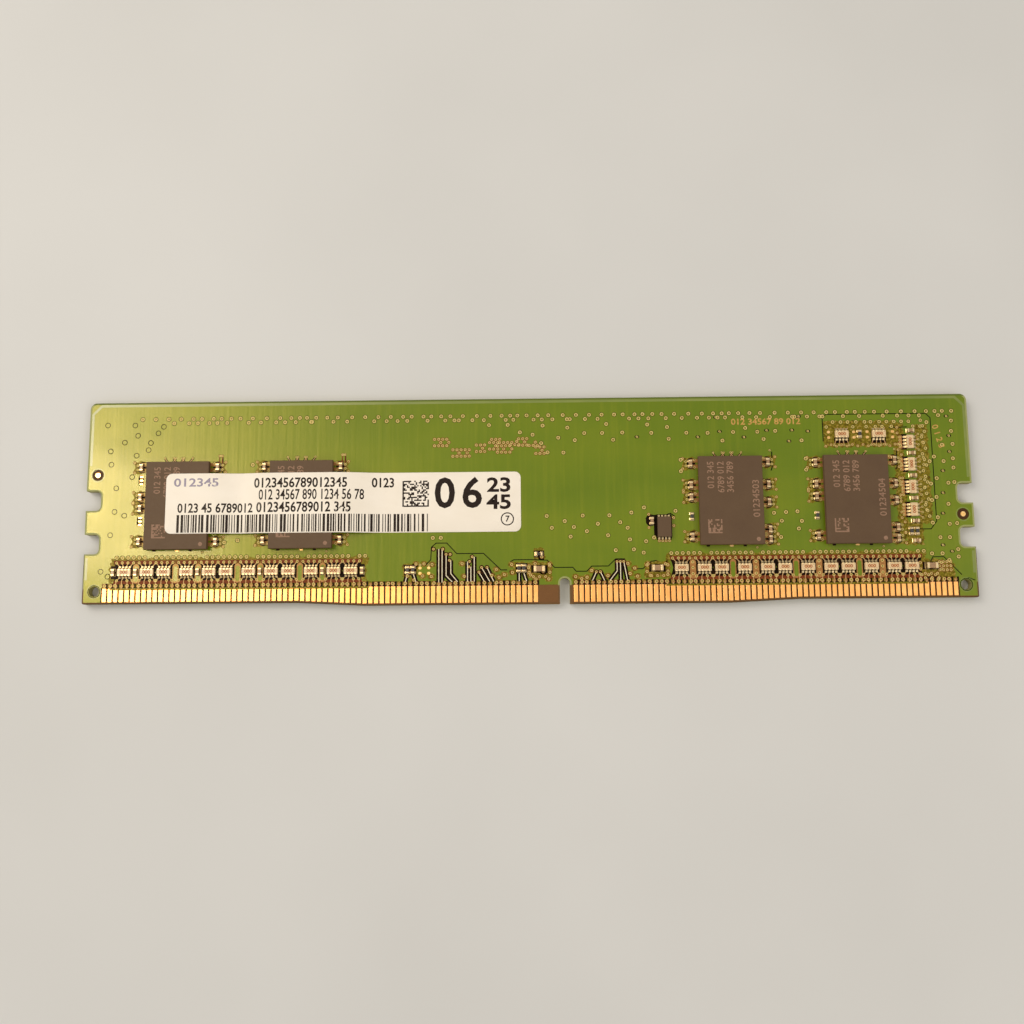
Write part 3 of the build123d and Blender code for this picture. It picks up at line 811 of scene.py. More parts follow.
SCATTERED_VIAS = (
    # between the plain edge and the packages
    (-5.6, 11.56), (-2.75, 11.56), (2.55, 11.4), (6.3, 11.05), (12.2, 11.55), (18.4, 11.4),
    (21.4, 10.97), (-0.9, 10.4), (1.0, 10.0), (4.9, 9.5), (8.85, 10.17), (11.55, 10.17),
    (14.6, 10.2), (19.0, 10.1), (7.4, 9.1), (13.2, 9.1), (21.6, 9.15), (24.3, 10.06), (27.5, 10.0),
    (29.7, 8.8), (31.35, 10.1), (33.2, 10.7), (35.0, 10.1), (35.9, 8.96), (37.7, 10.2),
    (41.6, 8.7), (2.3, 8.7), (3.25, 7.26), (5.65, 7.2),
    # middle of the board
    (3.0, -2.45), (5.7, -3.25), (8.4, -2.45), (12.4, -2.45), (15.7, -2.05), (17.6, -1.3),
    (3.75, -4.25), (7.05, -4.15), (9.0, -4.8), (10.65, -3.7), (14.0, -3.5), (15.1, -4.35),
    (6.55, -5.6), (12.15, -5.45), (15.4, -6.1), (17.8, -6.4), (13.25, -7.7), (15.95, -7.6),
    (17.4, -8.1), (19.0, -5.85), (22.3, -1.85), (23.3, 5.9), (23.3, 4.15), (37.0, -2.3),
    (38.8, -2.2), (40.5, -2.1), (38.1, -3.5), (41.1, -3.55), (40.6, -4.7), (37.9, -5.95),
    (42.1, 5.9), (42.1, 4.2), (-41.5, 5.8), (-43.5, -5.7), (-45.5, -6.0), (-14.1, -5.6),
    (-12.9, -5.6),
    # right end
    (64.2, 11.5), (60.5, 11.3), (62.6, 7.8), (64.1, 9.9), (64.2, 7.9), (64.1, 5.7), (62.7, 5.3),
    (64.1, 4.3), (60.6, 5.3), (61.3, 6.0), (61.5, 2.7), (60.6, 1.9), (63.2, 2.0), (64.1, 2.1),
    (61.3, -0.15), (60.6, -0.6), (63.0, -1.2), (61.3, -3.2), (60.5, -4.0), (63.0, -4.2),
    (64.1, -4.1), (61.5, -6.2), (62.9, -6.2), (64.0, -8.0), (60.1, -8.6), (61.65, -8.6),
    (64.0, -9.1), (62.6, -9.6),
)
for x, y in SCATTERED_VIAS:
    via(x, y)

# Vias of the left end, where the mask dips round each; the dark ring in the dip is painted shade.
RINGED_VIAS = (
    (-63.9, 12.15), (-59.7, 12.1), (-59.2, 10.5), (-56.1, 10.85), (-55.3, 11.85), (-57.2, 9.35),
    (-61.2, 9.45), (-57.5, 8.25), (-59.3, 7.4), (-63.3, 8.1), (-63.1, 6.05), (-59.85, 4.1),
    (-62.2, 2.4), (-62.3, -1.2), (-60.8, -1.8), (-62.8, -4.75), (-64.0, -10.25), (-62.9, -11.0),
)
for x, y in RINGED_VIAS:
    dense.ring(x, y, 0.46, 0.29)
    via_places.append((x, y, VIA_RADIUS))

# Small signal vias, each in a dark clearance with a short track.
SIGNAL_VIAS = (
    (16.8, 9.5), (29.3, 10.2), (32.95, 9.3), (36.4, 10.3), (40.2, 10.3), (39.7, 8.6), (42.6, 10.1),
    (63.5, 12.2), (63.65, 6.75), (63.7, 9.2), (62.5, 3.85), (62.3, 0.5), (62.1, -2.6),
    (61.8, -7.35), (63.1, -8.3), (28.8, 12.4), (41.3, 12.4), (26.0, 9.4),
)
for x, y in SIGNAL_VIAS:
    clearance.oval(x, y, 0.72, 0.46)
    tracks.strip([(x - 0.16, y + 0.12), (x + 0.2, y - 0.15)], TRACE)
    via(x, y, SMALL_VIA)

# Clusters of tiny vias above the middle of the board: centre, columns and rows.
CLUSTER_STEP = 0.62
CLUSTER_VIA = 0.23
CLUSTERS = (
    (-12.95, 8.95, 4, 3), (-9.85, 7.3, 5, 3), (-6.9, 8.0, 3, 3), (-4.9, 8.6, 3, 4),
    (-3.4, 8.1, 4, 4), (-1.7, 8.75, 3, 2), (-0.5, 8.9, 3, 3), (1.1, 8.6, 3, 2), (2.1, 7.6, 3, 3),
)
for cx, cy, columns, rows in CLUSTERS:
    for i in range(columns):
        for j in range(rows):
            x = cx + (i - (columns - 1) / 2 + 0.5 * (j % 2)) * CLUSTER_STEP
            y = cy + (j - (rows - 1) / 2) * CLUSTER_STEP * 0.8
            if (i * 3 + j * 5) % 6 != 5:
                close_via(x, y, CLUSTER_VIA)

# --- gaps between the copper areas ---
SPLITS = (
    ((-15.2, -9.7), (-14.4, -8.9), (-14.3, -7.0), (-13.6, -6.4), (-12.0, -6.4), (-10.5, -8.0),
     (-6.5, -8.0), (-3.9, -10.5), (-3.0, -10.5)),
    ((-2.5, -9.3), (-2.0, -9.0), (0.5, -9.0), (3.0, -9.1), (4.1, -10.2), (6.8, -10.2),
     (7.3, -10.8), (8.9, -10.8), (9.6, -10.05), (12.1, -10.05), (13.2, -9.0), (14.6, -9.0)),
    ((15.6, -10.5), (17.2, -10.5), (18.5, -9.4), (19.3, -9.3)),
    ((44.85, 8.5), (44.85, 12.0), (45.4, 12.66), (60.4, 12.66), (61.08, 12.0), (61.08, -3.8),
     (60.2, -4.93), (58.5, -4.93)),
    ((54.8, 10.5), (57.5, 10.6)),
    ((59.8, -9.8), (60.2, -9.1), (61.8, -9.1), (64.3, -11.8)),
    ((65.1, -12.2), (66.2, -12.6)),
    ((17.8, -3.0), (18.6, -2.5), (20.8, -2.5), (21.5, -2.2), (22.2, -2.7)),
)
for line in SPLITS:
    clearance.strip(line, SPLIT)

# --- the two rows of arrays, with fan-outs to vias above and to contacts below ---
ZONE_TOP = row_y + 1.78
ZONE_FOOT = row_y - 1.75
VIA_LINE = row_y + 2.2
DOT_LINE = row_y + 1.45
LOWER_DOTS = row_y - 1.3
RING_LINE = contact_top + 0.42
TERMINAL_STEP = 0.5
TERMINAL_TIP = 0.62           # from an array's middle to its terminals' ends
FOUR = (-1.5, -0.5, 0.5, 1.5)  # the places of an array's terminals, in steps from its middle


def array_fan(x, y):
    """Tracks from an array's eight terminals, spread to the contact pitch above and below."""
    for share in FOUR:
        inner = x + share * TERMINAL_STEP
        outer = x + share * pitch
        tracks.strip([(inner, y + TERMINAL_TIP), (inner, y + 0.85), (outer, DOT_LINE)], TRACE)
        via(outer, DOT_LINE, 0.23)
        line = [(inner, y - TERMINAL_TIP), (inner, y - 0.8), (outer, LOWER_DOTS)]
        tracks.strip([*line, (outer, ZONE_FOOT - 0.2)], TRACE)
        if share != -0.5:
            via(x + share * pitch * 0.94, LOWER_DOTS + 0.06, 0.22)


zones = {
    "left": (mask_low.x + 4.5, mask_low.x + 42.2),
    "right": (row_arrays["right"][0][0].x - 0.75, row_arrays["right"][-1][1].x + 0.7),
}
for side, (start, end) in zones.items():
    centre_x = (start + end) / 2
    crowded.patch(centre_x, DOT_LINE + 0.1, end - start + 1.0, 1.2)
    foot_height = ZONE_FOOT - contact_top + 0.5
    crowded.block(centre_x, (ZONE_FOOT + contact_top) / 2, end - start + 1.2, foot_height)
    centres = [middle(pair) for pair in row_arrays[side]]
    for spot in centres:
        for tip in (ZONE_TOP, ZONE_FOOT):
            fan = ((-1.22, row_y), (1.22, row_y), (1.72, tip), (-1.72, tip))
            dense.plate([(spot.x + shift, y) for shift, y in fan])
        for foot, head in ((ZONE_TOP - 0.55, ZONE_TOP), (ZONE_FOOT, ZONE_FOOT + 0.5)):
            red_halos.block(spot.x, (foot + head) / 2, 3.3, head - foot)
        array_fan(spot.x, spot.y)
    # power vias above the row, one for each contact, with a few left out
    for i in range(round((end - start) / pitch) + 1):
        if i % 9 != 6:
            via(start + 0.3 + i * pitch, VIA_LINE, 0.29)
    # between arrays that stand further apart: green islands and bare pads by turns
    wide = [(a.x + b.x) / 2 for a, b in zip(centres, centres[1:]) if b.x - a.x > 3.2 * pitch]
    for i, x in enumerate(wide):
        flood.oval(x, row_y - 0.2, 0.95, 2.9)
        if side == "right" and i % 2 == 0:
            for step in (-0.9, 0.0, 0.85):
                via(x, row_y + step, 0.24)
        else:
            green_islands.oval(x, row_y - 0.25, 0.62, 2.3)

# Copper strap and its rings right above the contacts.
for side, run in fingers.items():
    start = run[0][0].x - 0.1
    end = run[-1][1].x + 0.1
    crowded.rect(start, contact_top + 0.12, end, RING_LINE + 0.34)
    # the near-black strip along the mask's edge above the contacts is painted shadow
    clearance.rect(start, contact_top + 0.05, end, contact_top + 0.14)
    for i, pair in enumerate(run):
        x = middle(pair).x
        dense.block(x + 0.42 * pitch, RING_LINE + 0.02, 0.3, 0.62)
        flood.oval(x, RING_LINE - 0.08, 0.5, 0.42)
        if i % 7 not in (3, 5):
            close_via(x + 0.12 * math.sin(i * 2.3), RING_LINE, 0.26)
        tracks.strip([(x, contact_top - 0.02), (x, RING_LINE - 0.1)], 0.2)
        clearance.block(x + pitch / 2, RING_LINE - 0.12, 0.14, 0.42)

# --- tracks near the key slot ---
CENTRE_GROUPS = (
    # vias at the top of the tracks, then the tracks down to the contacts
    (((-14.0, -7.3), (-12.6, -7.3), (-12.1, -8.1), (-11.5, -8.1), (-11.6, -9.0)),
     (((-13.2, -7.3), (-13.2, -12.3)), ((-12.1, -8.1), (-12.1, -11.3), (-11.2, -12.2)),
      ((-11.4, -9.0), (-11.4, -11.0), (-10.4, -12.2)), ((-12.7, -7.3), (-12.7, -12.3)))),
    (((-8.2, -8.5), (-8.6, -9.2), (-8.7, -10.0)),
     (((-8.9, -9.2), (-8.9, -12.2)), ((-7.9, -8.5), (-7.9, -12.2)),
      ((-8.4, -10.0), (-8.4, -12.2)))),
    (((-6.8, -10.1), (-6.0, -10.1), (-7.2, -10.8)),
     (((-6.8, -10.1), (-5.6, -12.2)), ((-7.2, -10.8), (-6.4, -12.2)),
      ((-6.0, -10.1), (-5.0, -12.2)))),
    (((13.4, -9.4), (13.9, -9.4), (14.4, -9.4)),
     (((13.4, -9.4), (13.4, -10.8), (12.3, -12.2)), ((13.9, -9.4), (13.9, -12.2)),
      ((14.4, -9.4), (14.9, -12.2)))),
    (((10.3, -10.9), (10.9, -10.9)),
     (((10.3, -10.9), (9.7, -12.2)), ((10.9, -10.9), (11.5, -12.2)))),
    ((),
     (((-1.2, -11.0), (-1.2, -12.2)), ((-0.5, -11.0), (-0.1, -12.2)),
      ((-17.9, -11.0), (-18.2, -12.2)), ((-17.0, -11.0), (-16.6, -12.2)))),
)
for spots, lines in CENTRE_GROUPS:
    for line in lines:
        dense.strip(line, TRACE + 0.72)
        pale_tracks.strip(line, TRACE)
    for x, y in spots:
        dense.oval(x, y, 0.72, 0.72)
        close_via(x, y)

# --- copper round the chips beside the packages ---
for name in DRAMS:
    low, high = packages[name]
    centre = (low + high) / 2
    for chip in islands(f"{name}_capacitor_bodies"):
        x, y = middle(chip).xy
        away = -1 if x < centre.x else 1
        package_side = low.x if away < 0 else high.x
        crowded.patch(x + away * 0.2, y, 1.9, 1.9)
        # the dark oval round each chip is painted shade between its pads and at its ends
        dense.oval(x - away * 0.1, y, 1.3, 1.75)
        for up in (-1, 1):
            end_y = y + up * 0.42
            flood.oval((x + package_side) / 2, end_y, abs(x - package_side) + 0.5, 0.55)
            via(x - away * 0.62, end_y + up * 0.16, 0.2)
            via(x + away * 0.66, end_y - up * 0.1, 0.21)
            close_via(x + away * 1.15, end_y + up * 0.35)
    # escape tracks above the package
    for i, offset in enumerate((-1.9, -1.2, -0.6, 0.1, 0.7, 1.4)):
        lean = 0.5 if i % 2 else -0.4
        foot = (centre.x + offset, high.y + 0.05)
        tip = (centre.x + offset + lean, high.y + 0.62)
        clearance.strip([foot, tip], TRACE + 0.26)
        tracks.strip([foot, tip], TRACE)
        via(tip[0], tip[1] + 0.1, SMALL_VIA)
    rise = high.x + 1.75
    clearance.strip([(rise - 0.2, high.y - 2.1), (rise, high.y - 1.6), (rise, high.y + 0.8)], 0.2)
    if name in DRAMS[:2]:
        for shift in (0.0, 0.42):
            x = rise - 0.5 + shift
            red_halos.strip([(x, high.y - 1.4), (x, high.y + 0.9)], 0.16)
            close_via(x, high.y + 1.0, SMALL_VIA)
    via(high.x + 1.45, high.y + 1.0, SMALL_VIA)
    via(high.x - 0.95, low.y - 0.38, 0.18)
    # dark spots and a bare pad along the package's lower side
    for offset in (-3.5, 2.0):
        dense.oval(centre.x + offset, low.y - 0.08, 0.55, 0.3)
    pads.oval(centre.x, low.y - 0.1, 0.6, 0.24)

# --- pads round the identification chip, and figures in the copper ---
spd_low, spd_high = box("spd_body")
for foot, head in ((spd_high.y - 0.1, spd_high.y + 0.42), (spd_low.y - 0.42, spd_low.y + 0.1)):
    dense.rect(spd_low.x - 0.1, foot, spd_high.x + 0.1, head)
for i in range(4):
    close_via(spd_low.x + 0.25 + i * 0.5, spd_low.y - 0.55)
dense.rect(spd_low.x - 0.5, spd_low.y - 0.1, spd_high.x + 0.2, spd_high.y + 0.3)
dense.oval(spd_low.x - 0.95, spd_high.y - 0.45, 1.5, 1.8)
for y in (spd_high.y + 0.45, spd_high.y - 1.55):
    close_via(spd_low.x - 1.25, y)
for up in (-0.1, -1.3):
    close_via(spd_high.x + 0.45, spd_high.y + up, 0.22)
copper_figures.numerals("012 34567 89 012", 36.3, 11.62, 1.3, narrow=1.1, bold=0.03)
copper_figures.numerals("0 1 2 3", 62.1, 9.1, 1.3, turn=-75, bold=0.02)
# bare pads of parts left off beside the first package
first_left = packages["dram_1"][0].x - 1.05
for spot_y in (3.55, -2.7):
    clearance.oval(first_left - 0.05, spot_y, 0.85, 1.7)
    for up in (-0.55, 0.0, 0.55):
        pads.oval(first_left, spot_y + up, 0.55, 0.3)

# --- corner network ---
column = [pair for pair in corner_arrays if stands(pair)]
upper = [pair for pair in corner_arrays if not stands(pair)]
for pair in column:
    x, middle_y = middle(pair).xy
    dense.rect(x - 1.25, middle_y - 1.2, x - 0.4, middle_y + 1.2)
    for share in FOUR:
        y = middle_y + share * TERMINAL_STEP
        tracks.strip([(x - TERMINAL_TIP, y), (x - 1.15, y)], TRACE)
        tracks.strip([(x + TERMINAL_TIP, y), (x + 1.3, y + share * 0.25)], TRACE)
        via(x + 1.35, y + share * 0.3, 0.18)
        via(x - 1.45, y, SMALL_VIA)
    for up in (1.05, -0.05):
        via(x + 1.95, middle_y + up, 0.22)
for pair in upper:
    middle_x, y = middle(pair).xy
    dense.rect(middle_x - 1.1, y - 1.35, middle_x + 1.1, y - 0.5)
    for share in FOUR:
        x = middle_x + share * TERMINAL_STEP
        tracks.strip([(x, y - TERMINAL_TIP), (x + share * 0.2, y - 1.5)], TRACE)
        via(x + share * 0.25, y - 1.65, SMALL_VIA)
        tracks.strip([(x, y + TERMINAL_TIP), (x + 0.3, y + 1.05)], TRACE)
column_x = middle(column[0]).x
crowded.patch(50.3, 9.6, 10.8, 4.0)
crowded.patch(column_x - 1.6, 3.6, 1.5, 15.4)
crowded.patch(column_x + 1.8, 3.4, 2.0, 15.0)
crowded.patch(column_x, -5.6, 2.6, 3.4)
for pair in column:
    flood.block(middle(pair).x - 1.35, middle(pair).y, 0.5, 2.0)
for x in (46.4, 47.6, 48.65, 49.9, 51.2, 52.1, 53.4, 54.5, 55.6, 56.7, 57.8):
    via(x, TOP_ROW - 1.55, 0.28)
for x in (45.4, 49.4, 51.4, 52.8, 53.8, 55.2, 58.4, 59.5):
    via(x, TOP_ROW - 2.3, 0.26)
# rings below the upper arrays and on both sides of the column
for i in range(15):
    close_via(45.2 + i * 0.8, 7.75 + 0.22 * (i % 2))
for i in range(18):
    y = 11.6 - i * 0.86
    via(column_x + 1.85 + 0.25 * (i % 3), y, 0.26)
    if i % 3:
        close_via(column_x - 1.75, y - 0.2)
for x in (45.7, 49.5, 51.5, 55.3):
    for up in (-0.42, 0.42):
        pads.oval(x, 9.5 + up, 0.5, 0.42)

# --- vias close above the contacts near the key slot ---
NEAR_KEY_VIAS = (
    (-17.3, -10.0), (-16.6, -9.5), (-15.4, -9.5), (-14.2, -9.6), (-17.9, -11.3), (-16.9, -11.9),
    (-15.6, -11.3), (-14.3, -11.4), (-9.7, -9.5), (-9.4, -11.4), (-5.3, -11.3), (-4.6, -10.4),
    (-4.2, -11.6), (-3.4, -11.2), (-2.3, -9.7), (-2.2, -10.9), (0.2, -10.2), (0.5, -11.3),
    (1.2, -9.6), (1.3, -11.9), (2.2, -8.6), (2.4, -10.8), (3.3, -9.7), (3.2, -11.9), (7.2, -11.6),
    (8.1, -11.9), (8.9, -11.7), (9.6, -10.7), (12.0, -11.5), (15.0, -9.7), (15.3, -11.2),
    (16.0, -10.4), (16.4, -11.6), (18.0, -9.8), (18.3, -11.5), (20.6, -9.8), (20.9, -11.4),
)
for x, y in NEAR_KEY_VIAS:
    crowded.oval(x, y, 1.15, 0.9)
    close_via(x, y, 0.24)

# crowded copper under the chips: its size and shift, and how far the dark mask passes the chip
UNDER_CHIPS = (
    ("bulk_capacitor", 3.8, 2.4, -0.2, 0.9, 0.35),
    ("centre_resistor", 1.5, 1.8, 0.0, 0.6, 0.6),
    ("row_capacitor", 1.2, 2.9, 0.0, 0.3, 1.0),
)
for group, width, height, shift, past_x, past_y in UNDER_CHIPS:
    for low, high in islands(f"{group}_bodies"):
        x, y = middle((low, high)).xy
        crowded.patch(x, y + shift, width, height)
        dense.block(x, y, high.x - low.x + past_x, high.y - low.y + past_y)
        if group == "bulk_capacitor":
            for across in (-1.55, 1.55):
                for up in (-0.5, 0.45):
                    close_via(x + across, y + up, 0.24)
            for across in (-0.9, 0.0, 0.9):
                close_via(x + across, y - 1.15, 0.22)

# --- bare pads along the row line near the key slot ---
for x in (-16.0, -14.7):
    for up in (-0.4, 0.4):
        pads.oval(x, row_y - 0.1 + up, 0.48, 0.42)
    via(x, row_y + 0.75, 0.2)
for i in range(4):
    for j in range(3):
        close_via(61.1 + i * 0.55, row_y + 0.55 - j * 0.6, 0.22)
crowded.patch(60.4, row_y - 0.9, 5.8, 2.6)
for i in range(6):
    dense.oval(58.6 + i * 0.5, row_y - 1.75, 0.32, 0.5)
    close_via(58.4 + i * 0.5, row_y - 1.35 - 0.45 * (i % 2), 0.22)

# --- collars of the corner holes and rings of the fiducials ---
HOLE_RADIUS = 0.8
HOLE_FROM_END = 1.8
HOLE_FROM_FOOT = 2.38
hole_y = board_low.y + HOLE_FROM_FOOT
for x in (board_low.x + HOLE_FROM_END, board_high.x - HOLE_FROM_END):
    clearance.ring(x, hole_y, HOLE_RADIUS + 0.2, HOLE_RADIUS + 0.01, sides=36)
    band.ring(x, hole_y, HOLE_RADIUS + 0.3, HOLE_RADIUS + 0.18, sides=36)
for low, high in fiducials:
    if low.z > board_top / 2:
        spot = (low + high) / 2
        band.ring(spot.x, spot.y, 1.1, 0.9, sides=36)

# --- pale band where the planes stop short of the outline ---
BAND = 0.45                   # its width
CUT = 1.5                     # how far it runs from a corner before it follows the side
band_left = mask_low.x + BAND / 2
band_right = mask_high.x - BAND / 2
band_head = mask_high.y - CUT
upper_line = mask_high.y - BAND / 2
band_line = [
    (band_left, band_head - 8.0), (band_left, band_head), (mask_low.x + CUT, upper_line),
    (mask_high.x - CUT, upper_line), (band_right, band_head), (band_right, band_head - 11.0),
]
band.strip(band_line, BAND)
for x in (band_left, band_right):
    band.strip([(x, -8.2), (x, -11.5)], BAND)

for relief, name, material, slot in surface:
    relief.make(name, material, slot)

# --- marks on the packages: plain figures and a meaningless square of cells ---
marks = Relief(flat(packages["dram_1"][1].z), MARK_RISE)
chance = random.Random(7)


def cell_square(relief, x, y, size, cells, fill):
    """A square of random cells with two solid sides."""
    step = size / cells
    for i in range(cells):
        middle_x = x - size / 2 + (i + 0.5) * step
        run = 0
        for j in range(cells + 1):
            if j < cells and (i == 0 or j == 0 or chance.random() < fill):
                run += 1
            elif run:
                middle_y = y - size / 2 + (j - run / 2) * step
                relief.block(middle_x, middle_y, step * 0.98, run * step * 0.98)
                run = 0


MARK_STYLE = {"turn": 90, "bold": 0.012}
MARK_LINES = ((-2.95, 3.8, "012 345"), (-1.45, 3.45, "6789 012"), (-0.05, 3.45, "3456 789"))
for index, name in enumerate(DRAMS):
    centre = middle(packages[name])
    for dx, dy, text in MARK_LINES:
        marks.numerals(text, centre.x + dx, centre.y + dy, 1.4, narrow=0.9, **MARK_STYLE)
    marks.numerals(f"0123450{index + 1}", centre.x + 3.7, centre.y + 0.2, 1.42, **MARK_STYLE)
    cell_square(marks, centre.x - 2.55, centre.y - 3.95, 2.1, 10, 0.42)
    marks.oval(centre.x + 3.8, centre.y - 5.9, 0.62, 0.62)
marks.make("package_marks", LASER, "moulding_compound")

array_marks = Relief(flat(row_arrays["left"][0][1].z), MARK_RISE)
for group in GROUPS:
    for pair in islands(f"array_bodies_{group}"):
        spot = middle(pair)
        turn = 90 if stands(pair) else 0
        array_marks.numerals("000", spot.x, spot.y, 0.62, turn=turn, narrow=1.25, bold=0.02)
array_marks.make("array_marks", ARRAY_INK, "array_ceramic")

# --- label ---
label_low, label_high = box("label")
label_surface = BVHTree.FromObject(nodes["label"], bpy.context.evaluated_depsgraph_get())
LABEL_RADIUS = 0.9
EDGE_DROP = 0.03              # how far the paper's long edges fall
FIRST_RAY = 0.004             # the first height is taken this far in from the label's end
RAY_START = 0.1               # metres from the board
label_y = (label_low.y + label_high.y) / 2


def label_height(x, from_above):
    """Height of the label's upper or lower face at x."""
    start = Vector((x * MM, label_y * MM, RAY_START if from_above else -RAY_START))
    hit = label_surface.ray_cast(start, Vector((0, 0, -1 if from_above else 1)))
    return hit[0].z / MM


def label_columns():
    """Places along the label, closer together at its rounded corners."""
    corner = [LABEL_RADIUS * (1 - math.cos(math.radians(a))) for a in range(0, 90, 15)]
    corner[0] = FIRST_RAY
    start = label_low.x + LABEL_RADIUS
    end = label_high.x - LABEL_RADIUS
    count = round((end - start) / 0.4)
    places = [label_low.x + c for c in corner]
    places += [start + (end - start) * i / count for i in range(count + 1)]
    places += [label_high.x - c for c in reversed(corner)]
    return places


def label_half(x):
    """Half of the label's width at x, less at the rounded corners."""
    half = (label_high.y - label_low.y) / 2
    into = min(x - label_low.x, label_high.x - x)
    if into >= LABEL_RADIUS:
        return half
    return half - LABEL_RADIUS + math.sqrt(max(LABEL_RADIUS**2 - (LABEL_RADIUS - into) ** 2, 0.0))


label_x = label_columns()
upper_z = [label_height(x, True) - PRINT_ROOM for x in label_x]
lower_z = [label_height(x, False) for x in label_x]


def label_top(x, y):
    """Height of the finished label's upper face."""
    for i in range(len(label_x) - 1):
        if x <= label_x[i + 1]:
            share = (x - label_x[i]) / (label_x[i + 1] - label_x[i])
            return upper_z[i] + share * (upper_z[i + 1] - upper_z[i])
    return upper_z[-1]


def make_label():
    rings = []
    for i, x in enumerate(label_x):
        half = label_half(x)
        high, low = upper_z[i], lower_z[i]
        ring = [(x, label_y + half * share, high) for share in (-0.985, -0.5, 0.0, 0.5, 0.985)]
        ring.append((x, label_y + half, high - EDGE_DROP))
        ring += [(x, label_y + half * share, low) for share in (1.0, 0.5, 0.0, -0.5, -1.0)]
        ring.append((x, label_y - half, high - EDGE_DROP))
        rings.append(ring)
    paper = Relief(flat(0.0), 0.0)
    paper.loft(rings)
    piece = paper.make("label_paper", PAPER, "label_paper", replaces=("label",))
    for polygon in piece.data.polygons:
        polygon.use_smooth = True
    piece.data.set_sharp_from_angle(angle=math.radians(35))


make_label()

ink = Relief(label_top, PRINT_RISE)
pale = Relief(label_top, PRINT_RISE)
pale.numerals("012345", -49.6, 2.9, 1.75, narrow=1.3, bold=0.03)
ink.numerals("0123456789012345", -33.9, 2.75, 2.05, narrow=0.86, bold=0.045)
ink.numerals("0123", -21.6, 2.75, 2.0, narrow=0.86, bold=0.045)
ink.numerals("012 34567 890 1234 56 78", -32.3, 0.95, 2.2, narrow=0.66, bold=0.03)
ink.numerals("0123456789012 345", -33.4, -0.95, 2.1, narrow=0.82, bold=0.045)
ink.numerals("0123 45 6789012", -46.7, -1.0, 1.95, narrow=0.82, bold=0.04)
BAR_WIDTHS = (0.13, 0.13, 0.25, 0.25, 0.38)
BAR_GAPS = (0.13, 0.13, 0.25, 0.25, 0.4)


def bars(start, end, foot, head):
    """A plain band of bars with uneven widths."""
    place = start
    while place < end:
        width = chance.choice(BAR_WIDTHS)
        ink.block(place + width / 2, (foot + head) / 2, width, head - foot)
        place += width + chance.choice(BAR_GAPS)


bars(-52.4, -14.5, -4.62, -1.95)
cell_square(ink, -16.7, 1.1, 4.0, 18, 0.45)
ink.numerals("0", -12.3, 0.95, 6.4, bold=0.12)
ink.numerals("6", -8.2, 0.95, 6.4, bold=0.12)
ink.numerals("23", -4.1, 2.25, 3.0, narrow=1.25, bold=0.08)
ink.numerals("45", -4.1, -0.35, 3.0, narrow=1.25, bold=0.08)
ink.ring(-2.9, -2.85, 1.05, 0.78, sides=40)
ink.numerals("7", -2.9, -2.85, 1.25, bold=0.03)
ink.make("label_print", INK, "label_paper")
pale.make("label_pale_print", PALE_INK, "label_paper")

# --- back of the board ---
back_face = mask_back_face + BACK_ROOM


def make_back_mask():
    """The back mask, drawn in so that its tracks and collars stay within the board's size."""
    shape = welded("solder_mask_back")
    for vert in shape.verts:
        if vert.co.z < (mask_back_face + CAD_SEAM) * MM:
            vert.co.z = back_face * MM
    mesh = bpy.data.meshes.new("solder_mask_back_finish")
    shape.to_mesh(mesh)
    shape.free()
    add_piece("solder_mask_back_finish", mesh, MASK, "solder_mask", replaces=("solder_mask_back",))


make_back_mask()

back = flat(back_face)
back_collars = Relief(back, BACK_COLLAR_RISE, side=-1)
back_wells = Relief(back, BACK_TRACK_RISE, side=-1)
back_tracks = Relief(back, BACK_TRACK_RISE, side=-1)
back_clearance = Relief(back, CLEARANCE_RISE, side=-1)
for x, y, radius in via_places:
    back_collars.ring(x, y, radius, radius * 0.5)
    back_wells.oval(x, y, radius * 1.05, radius * 1.05, sides=10)
# every other contact has a track up to the row of power vias
for side, run in fingers.items():
    for i, pair in enumerate(run):
        x = middle(pair).x
        lift = 1.6 + 0.55 * math.sin(i * 1.7)
        if i % 2:
            line = [(x, contact_top), (x, contact_top + lift), (x + 0.4, contact_top + lift + 0.5)]
            back_clearance.strip(line, 0.36)
            back_tracks.strip(line, TRACE)
for line in SPLITS:
    back_clearance.strip(line, SPLIT)
back_clearance.make("back_clearance_lines", BARE_MASK, "solder_mask")
back_tracks.make("back_tracks", TRACK, "solder_mask")
back_wells.make("back_via_wells", WELL, "solder_mask")
back_collars.make("back_via_collars", COLLAR, "solder_mask")

# --- floor, light and camera ---
FLOOR_REACH = 1.5             # metres
FLOOR_DROP = 0.02             # millimetres below the back of the board
corners = [(x * FLOOR_REACH, y * FLOOR_REACH, 0) for x, y in ((-1, -1), (1, -1), (1, 1), (-1, 1))]
floor_mesh = bpy.data.meshes.new("floor")
floor_mesh.from_pydata(corners, [], [(0, 1, 2, 3)])
floor = bpy.data.objects.new("floor", floor_mesh)
bpy.context.scene.collection.objects.link(floor)
floor.location.z = -FLOOR_DROP * MM
ground = Finish("studio_floor", Specular_IOR_Level=0.2)
paint = ground.ramp(ground.noise(60.0), (0.3, "#cfcdc8"), (0.7, "#d6d4cf"))
floor_mesh.materials.append(ground.done(paint, ground.between(ground.noise(15.0), 0.7, 0.85)))

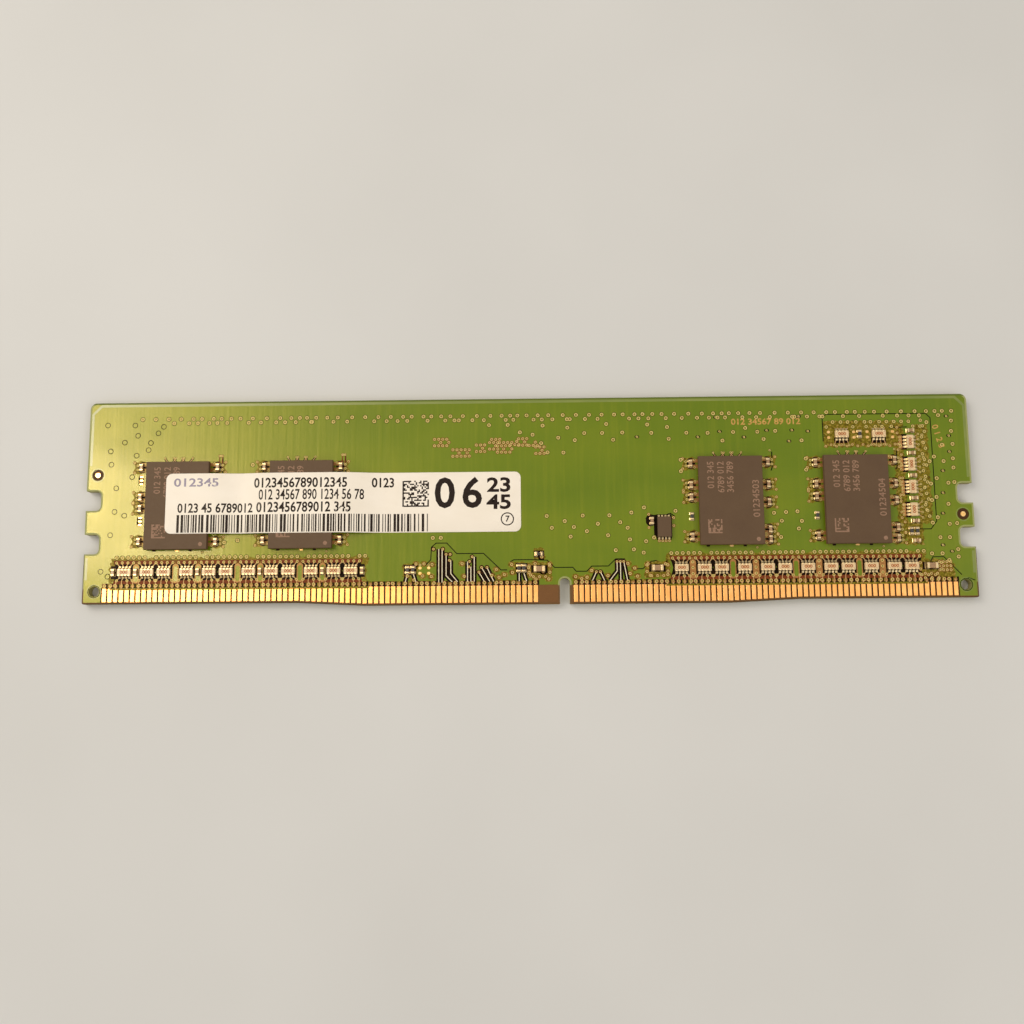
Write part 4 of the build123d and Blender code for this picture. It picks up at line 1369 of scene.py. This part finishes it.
world = bpy.data.worlds.new("studio")
world.use_nodes = True
background = world.node_tree.nodes["Background"]
background.inputs["Color"].default_value = (1.0, 0.97, 0.93, 1.0)
background.inputs["Strength"].default_value = 0.58
bpy.context.scene.world = world
bpy.context.scene.view_settings.view_transform = "Standard"


def softbox(name, place, aim, width, height, power, colour, glare_only=False):
    """A rectangular light, facing a point on the board. Places and sizes are in metres."""
    data = bpy.data.lights.new(name, "AREA")
    data.shape = "RECTANGLE"
    data.size = width
    data.size_y = height
    data.energy = power
    data.color = colour
    light = bpy.data.objects.new(name, data)
    light.location = place
    light.rotation_mode = "QUATERNION"
    light.rotation_quaternion = (Vector(aim) - Vector(place)).to_track_quat("-Z", "Y")
    light.visible_diffuse = not glare_only
    bpy.context.scene.collection.objects.link(light)


WARM = (1.0, 0.95, 0.88)
AMBER = (1.0, 0.80, 0.54)
softbox("key_softbox", (-0.30, 0.20, 0.36), (-0.04, 0.0, 0.0), 0.30, 0.30, 1.1, WARM)
softbox("fill_softbox", (0.35, -0.20, 0.50), (0.0, 0.0, 0.0), 0.40, 0.30, 0.85, WARM)
# A ceiling that only the metal and the gloss show.
softbox("ceiling_card", (0.02, -0.02, 0.60), (0.0, -0.02, 0.0), 0.50, 1.00, 0.60, WARM, True)
# The lamp whose reflection washes over the left end of the board.
softbox("glare_card", (-0.215, 0.045, 0.230), (-0.060, 0.0, 0.0), 0.05, 0.20, 1.22, AMBER, True)

CAMERA_PLACE = Vector((0.1, -22.6, 153.2)) * MM
CAMERA_AIM = Vector((-2.2, -1.8, 1.4)) * MM
CAMERA_ROLL = -0.43           # degrees, anticlockwise
camera_data = bpy.data.cameras.new("camera")
camera_data.sensor_width = 36
camera_data.lens = 35.86
camera_data.clip_start = 0.001
camera = bpy.data.objects.new("camera", camera_data)
camera.location = CAMERA_PLACE
camera.rotation_mode = "QUATERNION"
behind = (CAMERA_PLACE - CAMERA_AIM).normalized()
right = Vector((0, 1, 0)).cross(behind).normalized()
upright_view = Matrix((right, behind.cross(right), behind)).transposed().to_quaternion()
camera.rotation_quaternion = upright_view @ Euler((0, 0, math.radians(CAMERA_ROLL))).to_quaternion()
bpy.context.scene.collection.objects.link(camera)
bpy.context.scene.camera = camera
